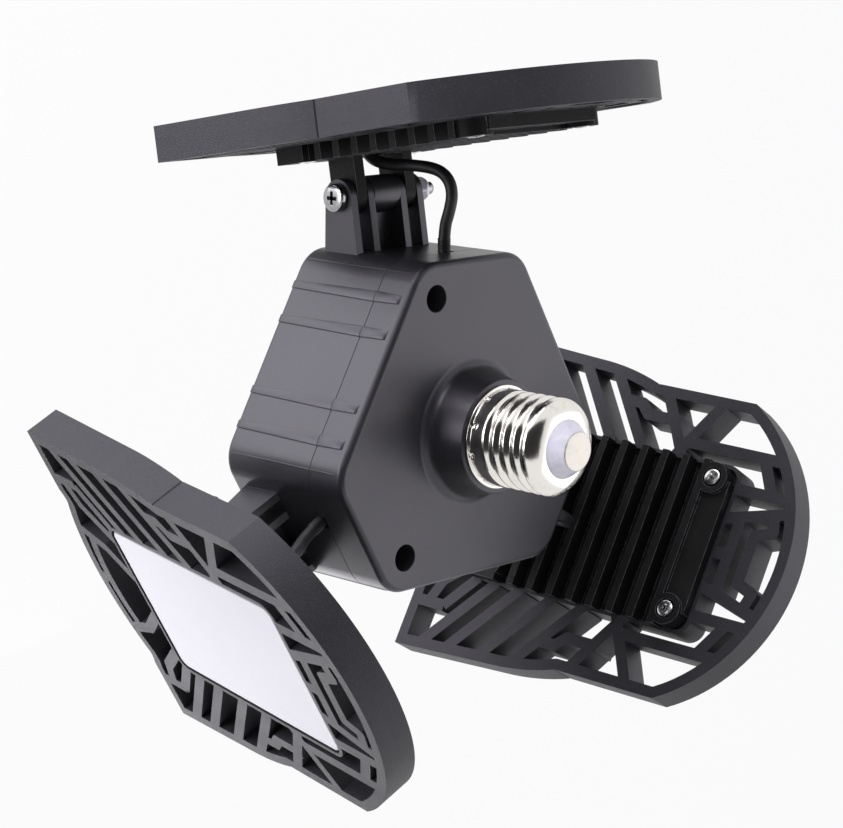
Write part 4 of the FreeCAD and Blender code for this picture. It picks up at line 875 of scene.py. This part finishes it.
HINGE_HALF = 13.8 * MM  # half the width over the ears
HINGE_OFFSET = 2.7 * MM  # middle of a leaf to the middle of its hinge
SEAT_GAP = 0.02 * MM  # under a bolt head or a nut
NUT_FLATS = 7.0 * MM
NUT_HEIGHT = 3.3 * MM  # of the hexagon, without the collar
NUT_CORNER = 4.04 * MM
NUT_FACE = 3.62 * MM  # radius where the chamfer meets a face
NUT_CHAMFER = 0.42 * MM
NUT_COLLAR = 2.6 * MM, 4.3 * MM  # centre of its rounding, as radius and height
NUT_COLLAR_ROUND = 0.62 * MM
SINK_SCREWS_ALONG = (57.4, -6.2)  # from the hinge, in millimetres
SINK_SCREWS_ACROSS = (-20.3, 20.3)
SINK_SCREW_SEAT = 11.78  # in front of the hinge, under the heads


def turned_screw(name, head_radius, head_height, shank_radius, reach, pitch, recess_depth):
    """Pan head screw with a cross recess and a threaded shank: head on z = 0, shank downwards."""
    profile = [(NEAR_AXIS, head_height)]
    dome = head_height * 0.30
    for i in range(1, 10):
        share = i / 9
        angle = share * math.pi / 2
        profile.append((head_radius * (0.98 * math.sin(angle) ** 0.8 + 0.02 * share),
                        head_height - dome * (1 - math.cos(angle))
                        - (head_height - dome) * max(0, share - 0.8) * 1.6))
    profile += [(head_radius, head_height * 0.28), (head_radius * 0.985, 0.08 * head_height),
                (head_radius * 0.95, 0.0), (shank_radius * 1.02, 0.0)]
    threads = int((reach * 0.94) / pitch)
    for i in range(threads):
        level = -0.03 * reach - i * pitch
        profile += [(shank_radius, level), (shank_radius, level - pitch * 0.12),
                    (shank_radius * ROOT, level - pitch * 0.45),
                    (shank_radius * ROOT, level - pitch * 0.60)]
    profile += [(shank_radius * 0.9, -reach + 0.12 * reach / 10), (shank_radius * 0.75, -reach),
                (NEAR_AXIS, -reach)]
    screw = spun_shell(name, profile, 40)
    recalculate(screw)
    recess_cross(screw, head_height, head_radius * RECESS[0], head_radius * RECESS[1],
                 recess_depth)
    bevel(screw, head_radius * 0.03, 50, segments=1)
    smooth(screw, 40)
    return screw


class LIGHT_OT_fasteners(bpy.types.Operator):
    """Hinge bolts, lock nuts and the screws of heat sinks, cover and driver board"""

    bl_idname = "light.fasteners"
    bl_label = "Fasteners"

    def make_nut(self):
        """Hexagon with chamfered corners and a rounded collar, base on z = 0."""
        deselect()
        bpy.ops.mesh.primitive_cylinder_add(vertices=6, radius=NUT_FLATS / math.sqrt(3),
                                            depth=NUT_HEIGHT, location=(0, 0, NUT_HEIGHT / 2))
        hexagon = bpy.context.object
        apply_place(hexagon)
        profile = [(NEAR_AXIS, 0), (NUT_FACE, 0), (NUT_CORNER, NUT_CHAMFER),
                   (NUT_CORNER, NUT_HEIGHT - NUT_CHAMFER), (NUT_FACE, NUT_HEIGHT),
                   (NEAR_AXIS, NUT_HEIGHT)]
        chamfer = spun_shell("nut_chamfer", profile, 48)
        recalculate(chamfer)
        carve(hexagon, chamfer, "INTERSECT")
        collar = [(3.25 * MM, 3.2 * MM), (3.25 * MM, 3.6 * MM)]
        collar += arc_points(NUT_COLLAR, NUT_COLLAR_ROUND, 0, 90, 6)
        collar += [(2.35 * MM, 4.90 * MM), (2.15 * MM, 4.55 * MM), (2.03 * MM, 4.5 * MM),
                   (2.03 * MM, 3.2 * MM)]
        collar.append(collar[0])
        nut = join(hexagon, spun_shell("nut_collar", collar, 40))
        smooth(nut, 40)
        return nut

    def on_hinge(self, model, name, leaf, facing, seat):
        """A copy of a bolt or nut on a leaf's hinge line, facing along it or against it."""
        turn = side_turn(leaf)
        hinge = turn.inverted() @ hinge_place(leaf)
        piece = copy_piece(model, name)
        place = Matrix.Translation((seat, hinge.y, hinge.z))
        move_mesh(piece, turn @ place @ z_towards(facing, 0, 0))
        return piece

    def sink_screws(self, model, leaf):
        """The four screws of a heat sink, each turned its own way, as one piece."""
        down = Matrix.Rotation(math.pi, 4, "X")
        made = []
        for along in SINK_SCREWS_ALONG:
            for across in SINK_SCREWS_ACROSS:
                screw = copy_piece(model, "sink_screw_part")
                spot = Matrix.Translation((across * MM, along * MM, SINK_SCREW_SEAT * MM))
                twist = Matrix.Rotation(math.radians(across * 3 + along), 4, "Z")
                move_mesh(screw, leaf_matrix(leaf) @ spot @ down @ twist)
                made.append(screw)
        screws = join(*made)
        screws.name = "sink_screw_set_%d" % leaf
        return screws

    def execute(self, context):
        zinc = zinc_screw("zinc_bright", BRIGHT_ZINC)
        # darker copy of the zinc for the bolts, a painted dark reflection
        shaded_bolt_zinc = zinc_screw("zinc_bolt_shaded", SHADED_BOLT_ZINC)
        satin = satin_nut()
        black = dark_screw()
        bolt = turned_screw("bolt_model", head_radius=3.9 * MM, head_height=2.5 * MM,
                            shank_radius=1.98 * MM, reach=35.6 * MM, pitch=0.7 * MM,
                            recess_depth=1.3 * MM)
        sink_screw = turned_screw("sink_screw_model", head_radius=2.5 * MM, head_height=1.6 * MM,
                                  shank_radius=1.35 * MM, reach=8.0 * MM, pitch=0.6 * MM,
                                  recess_depth=0.8 * MM)
        nut = self.make_nut()
        for leaf in LEAVES:
            piece = self.on_hinge(bolt, "hinge_bolt_turned_%d" % leaf, leaf, -1,
                                  -(HINGE_HALF + HINGE_OFFSET + SEAT_GAP))
            finish_piece(piece, "hinge_bolt_%d" % leaf, shaded_bolt_zinc, "housing")
            piece = self.on_hinge(nut, "hinge_lock_nut_%d" % leaf, leaf, 1,
                                  HINGE_HALF - HINGE_OFFSET + SEAT_GAP)
            finish_piece(piece, "hinge_nut_%d" % leaf, satin, "housing")
            finish_piece(self.sink_screws(sink_screw, leaf), "sink_screws_%d" % leaf, zinc,
                         "leaf_%d" % leaf)
        for model in (bolt, sink_screw, nut):
            bpy.data.objects.remove(model)
        for node in ("cover_screws", "board_screws"):
            paint(frame["nodes"][node], black)
        return {"FINISHED"}


# ---------------- cables

CABLE_SIDE = 3.7  # middle of a short side to the cable's hole
CABLE_EXIT_LEVEL = -14.4
# route of the first part from the driver over the hinge, as across, out and level of its side
CABLE_ROUTE = (
    (-3.7, 24.0, -31.38), (-3.7, 24.0, -26.38), (-3.7, 26.6, -20.4), (-3.7, 32.6, -15.7),
    (-3.7, 42.0, -14.4), (-3.7, 53.5, -14.4), (-4.0, 58.4, -12.7), (-4.3, 62.6, -11.9),
    (-4.4, 66.2, -12.9), (-4.3, 68.6, -15.6), (-4.0, 69.6, -19.4), (-3.2, 69.9, -23.7),
    (-1.8, 70.0, -27.6), (0.5, 70.0, -31.0),
)
# its last part, in the leaf's own frame
CABLE_ENTRY = ((2.9, 1.6, 8.9), (4.2, 0.0, 12.0), (4.2, 0.0, 15.5), (4.2, 0.0, 18.98))
BLEND_START = (-4.2, 61.0, -13.0)
BLEND_END = (4.2, 0.0, 10.5)
SLEEVE = 1.80 * MM
SLEEVE_BORE = 1.66 * MM
SLEEVE_FLANGE = SLEEVE + 0.25 * MM
SLEEVE_RIBS = 5
FIRST_RIB = 3.7 * MM  # from the foot of the sleeve
RIB_RISE = 0.10 * MM


class LIGHT_OT_cables(bpy.types.Operator):
    """Leaf cables, which bend over the hinges, and their ribbed sleeves"""

    bl_idname = "light.cables"
    bl_label = "Cables"

    def cable(self, leaf):
        """Cable along its route from the driver to the heat sink."""
        points = [side_point(leaf, *spot) for spot in CABLE_ROUTE]
        place = leaf_matrix(leaf)
        points += [place @ (Vector(spot) * MM) for spot in CABLE_ENTRY]
        curve = bpy.data.curves.new("cable_line_%d" % leaf, "CURVE")
        curve.dimensions = "3D"
        curve.bevel_depth = sizes().cable_diameter / 2
        curve.bevel_resolution = 8
        curve.use_fill_caps = True
        curve.resolution_u = 12
        spline = curve.splines.new("NURBS")
        spline.points.add(len(points) - 1)
        for knot, spot in zip(spline.points, points):
            knot.co = (*spot, 1)
        spline.order_u = 3
        spline.use_endpoint_u = True
        activate(new_object("leaf_cable_%d" % leaf, curve))
        bpy.ops.object.convert(target="MESH")
        return bpy.context.object

    def sleeve(self, leaf):
        """Ribbed strain relief round the cable, along the outward direction of its side."""
        low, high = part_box("cable_sleeve_1")
        length = high.y - low.y
        profile = [(SLEEVE_BORE, 0), (SLEEVE_FLANGE, 0), (SLEEVE_FLANGE, 0.7 * MM),
                   (SLEEVE, 0.75 * MM)]
        pitch = (length - FIRST_RIB - 0.2 * MM) / SLEEVE_RIBS
        for rib in range(SLEEVE_RIBS):
            level = FIRST_RIB + pitch * rib
            profile += [(SLEEVE - RIB_RISE, level), (SLEEVE - RIB_RISE, level + pitch * 0.30),
                        (SLEEVE, level + pitch * 0.42), (SLEEVE, level + pitch * 0.85)]
        profile += [(SLEEVE - 0.08 * MM, length), (SLEEVE_BORE, length), (SLEEVE_BORE, 0)]
        piece = spun_shell("cable_sleeve_ribbed_%d" % leaf, profile, 48)
        recalculate(piece)
        bevel(piece, 0.05 * MM, 30)
        smooth(piece, 40)
        foot = Vector((CABLE_SIDE * MM, low.y, CABLE_EXIT_LEVEL * MM + COVER_FACE))
        move_mesh(piece, side_turn(leaf) @ Matrix.Translation(foot) @ z_towards(0, 1, 0))
        return piece

    def execute(self, context):
        jacket = cable_jacket()
        for leaf in LEAVES:
            cable = self.cable(leaf)
            smooth(cable, 60)
            paint(cable, jacket)
            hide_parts("cable_%d" % leaf)
            end = leaf_matrix(leaf) @ (Vector(BLEND_END) * MM)
            side_point(leaf, *BLEND_START)
            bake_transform(cable)
            finish_piece(self.sleeve(leaf), "cable_sleeve_%d" % leaf, jacket, "housing")
        return {"FINISHED"}


# ---------------- inner pieces

SOLDER_MASK = ((0.010, 0.060, 0.022, 1), (0.035, 0.14, 0.05, 1))  # mask and tracks
LAMP_BOARD = ((0.75, 0.75, 0.72, 1), (0.82, 0.82, 0.80, 1))
EMITTER = (0.85, 0.62, 0.12)
# node, finish, colour, roughness and grain of the driver's parts and leads
DRIVER_FINISHES = (
    ("driver_capacitors", "can_sleeve", (0.015, 0.018, 0.03), 0.35, 0.4 * MM),
    ("driver_transformer", "ferrite_core", (0.05, 0.05, 0.055), 0.6, 0.5 * MM),
    ("driver_chips", "chip_package", (0.012, 0.012, 0.013), 0.45, 0.2 * MM),
    ("contact_wire", "lead_red", (0.42, 0.02, 0.015), 0.4, 0.3 * MM),
    ("shell_wire", "lead_black", (0.02, 0.02, 0.02), 0.4, 0.3 * MM),
)


class LIGHT_OT_inner_pieces(bpy.types.Operator):
    """Finishes of the driver and the lamp boards"""

    bl_idname = "light.inner_pieces"
    bl_label = "Inner pieces"

    def execute(self, context):
        nodes = frame["nodes"]
        paint(nodes["driver_board"], circuit_board("board_green", *SOLDER_MASK))
        for node, *finish in DRIVER_FINISHES:
            paint(nodes[node], plain_finish(*finish))
        white = circuit_board("board_white", *LAMP_BOARD)
        emitter = plain_finish("emitter_phosphor", EMITTER, 0.35, 0.3 * MM)
        for leaf in LEAVES:
            paint(nodes["led_board_%d" % leaf], white)
            paint(nodes["led_chips_%d" % leaf], emitter)
        return {"FINISHED"}


# ---------------- stage

# The camera fitted to the photograph, in an 843 x 828 frame. Lengths are in metres.
PHOTO_WIDTH = 843
FOCAL_PIXELS = 2537.72
CAMERA_TURN = (-2.73, 0.11, -1.14)  # rotation vector, row frame to view frame
CAMERA_SHIFT = (13.73 * MM, 4.57 * MM, 687.22 * MM)
MIDDLE = Vector((0, 0, -0.03))  # the light's middle, which the lamps point at
FLOOR_DROP = 0.30  # of the floor below the hanging light
FLOOR_SIZE = 6
FLOOR_WHITE = 0.90  # share of plain white that the eye sees on the floor
CARD_SIZE = (2.00, 0.92, 1)
CARD_PLACE = (0.10, 0, 0.05)  # in the camera's own directions
WORLD_LIGHT = 0.55
LAMP_TINT = (0.97, 0.95, 1.0)
# soft lamps: place in the camera's own directions from the middle, size and power
SOFT_LAMPS = (
    ("key_above", (-0.15, 0.60, 0.25), (0.60, 0.50), 4.0),
    ("fill_left", (-0.75, 0.10, 0.20), (0.50, 0.70), 5.5),
)
# soft lamps that a face reflects into the camera: its normal, distance, size and power
FACE_LAMPS = (
    ("glow_side", (-0.866, 0.5, 0), 0.42, (0.34, 0.34), 0.80),
    ("glow_cover", (0, 0, 1), 0.60, (0.55, 0.55), 0.80),
    ("glow_leaf", (-0.848, -0.490, -0.202), 0.40, (0.24, 0.24), 0.46),
)


class LIGHT_OT_stage(bpy.types.Operator):
    """Camera, floor, backdrop and soft studio lamps"""

    bl_idname = "light.stage"
    bl_label = "Stage"

    def camera(self):
        turn_vector = Vector(CAMERA_TURN)
        turn = Matrix.Rotation(turn_vector.length, 3, turn_vector.normalized())
        place = -(turn.transposed() @ Vector(CAMERA_SHIFT)) + Vector((0, 0, COVER_FACE))
        right, down, ahead = turn
        facing = Matrix((right, -down, -ahead)).transposed().to_4x4()
        data = bpy.data.cameras.new("photo_camera")
        data.sensor_width = 36
        data.lens = FOCAL_PIXELS * data.sensor_width / PHOTO_WIDTH
        data.clip_start = 0.01
        camera = new_object("photo_camera", data)
        camera.matrix_world = Matrix.Translation(place) @ facing
        bpy.context.scene.camera = camera
        return camera

    def seen_directly(self, node):
        """1 for rays from the camera, off gloss or through glass, 0 for light on the object."""
        seen = node("LightPath", out="Is Camera Ray")
        for ray in ("Is Glossy Ray", "Is Transmission Ray"):
            seen = seen.math("MAXIMUM", node("LightPath", out=ray))
        return seen

    def floor(self, low):
        """Pale floor under the hanging light: white to the eye, apart from the light's shadow."""
        deselect()
        bpy.ops.mesh.primitive_plane_add(size=FLOOR_SIZE, location=(0, 0, low - FLOOR_DROP))
        plane = bpy.context.object
        plane.name = "studio_floor"
        pale = Finish("floor_pale", Base_Color=(0.85, 0.85, 0.85, 1), Roughness=0.9)
        mixed = pale.node("MixShader", _0=self.seen_directly(pale.node) * FLOOR_WHITE,
                          _1=Wire(pale.tree, pale.shader.outputs[0]), _2=pale.node("Emission"))
        output = pale.tree.nodes["Material Output"]
        pale.tree.links.new(mixed.socket, output.inputs["Surface"])
        paint(plane, pale.material)

    def dark_card(self, view):
        """Black card round the camera, which only polished and satin surfaces reflect."""
        deselect()
        bpy.ops.mesh.primitive_plane_add(size=1)
        card = bpy.context.object
        card.name = "dark_card"
        card.scale = CARD_SIZE
        apply_place(card)
        move_mesh(card, view @ Matrix.Translation(CARD_PLACE))
        black = Finish("card_black", Base_Color=(0.01, 0.01, 0.01, 1), Roughness=0.9)
        paint(card, black.material)
        card.visible_camera = False
        card.visible_diffuse = False
        card.visible_transmission = False
        card.visible_shadow = False

    def world(self):
        """Even soft light, seen as plain white."""
        world = bpy.data.worlds.new("studio")
        world.use_nodes = True
        tree = world.node_tree
        tree.nodes.clear()
        node = Wire(tree).node
        soft = node("Background", Color=(1, 1, 1, 1), Strength=WORLD_LIGHT)
        white = node("Background", Color=(1, 1, 1, 1), Strength=1.0)
        mixed = node("MixShader", _0=self.seen_directly(node), _1=soft, _2=white)
        output = tree.nodes.new("ShaderNodeOutputWorld")
        tree.links.new(mixed.socket, output.inputs["Surface"])
        bpy.context.scene.world = world

    def lamp(self, name, place, size, power):
        """A rectangular soft lamp that points at the light's middle."""
        data = bpy.data.lights.new(name, "AREA")
        data.shape = "RECTANGLE"
        data.size, data.size_y = size
        data.energy = power
        data.color = LAMP_TINT
        lamp = new_object(name, data)
        lamp.location = place
        lamp.visible_camera = False
        lamp.rotation_euler = (MIDDLE - place).to_track_quat("-Z", "Y").to_euler()

    def execute(self, context):
        view = self.camera().matrix_world
        self.floor(CAD_BOX[0][2])
        self.dark_card(view)
        for name, place, size, power in SOFT_LAMPS:
            self.lamp(name, MIDDLE + view.to_3x3() @ Vector(place), size, power)
        towards_camera = (view.translation - MIDDLE).normalized()
        for name, facing, distance, size, power in FACE_LAMPS:
            normal = Vector(facing)
            away = 2 * normal.dot(towards_camera) * normal - towards_camera
            self.lamp(name, MIDDLE + away * distance, size, power)
        self.world()
        bpy.context.scene.view_settings.view_transform = "Standard"
        return {"FINISHED"}


# ---------------- sidebar and run

OPERATORS = (LIGHT_OT_housing, LIGHT_OT_screw_cap, LIGHT_OT_leaves, LIGHT_OT_fasteners,
             LIGHT_OT_cables, LIGHT_OT_inner_pieces, LIGHT_OT_stage)


class LIGHT_PT_sidebar(bpy.types.Panel):
    """Lists the steps that dress the light."""

    bl_label = "Garage light"
    bl_idname = "LIGHT_PT_sidebar"
    bl_space_type = "VIEW_3D"
    bl_region_type = "UI"
    bl_category = "Garage light"

    def draw(self, context):
        for operator in OPERATORS:
            self.layout.operator(operator.bl_idname)


CLASSES = (LightColours, LightSizes, *OPERATORS, LIGHT_PT_sidebar)


def register():
    for item in CLASSES:
        bpy.utils.register_class(item)
    bpy.types.Scene.light_colours = PointerProperty(type=LightColours)
    bpy.types.Scene.light_sizes = PointerProperty(type=LightSizes)


def unregister():
    del bpy.types.Scene.light_sizes
    del bpy.types.Scene.light_colours
    for item in reversed(CLASSES):
        bpy.utils.unregister_class(item)


def main():
    register()
    bpy.ops.light.housing()
    bpy.ops.light.screw_cap()
    bpy.ops.light.leaves()
    bpy.ops.light.fasteners()
    bpy.ops.light.cables()
    bpy.ops.light.inner_pieces()
    bpy.ops.light.stage()


if __name__ == "__main__":
    main()
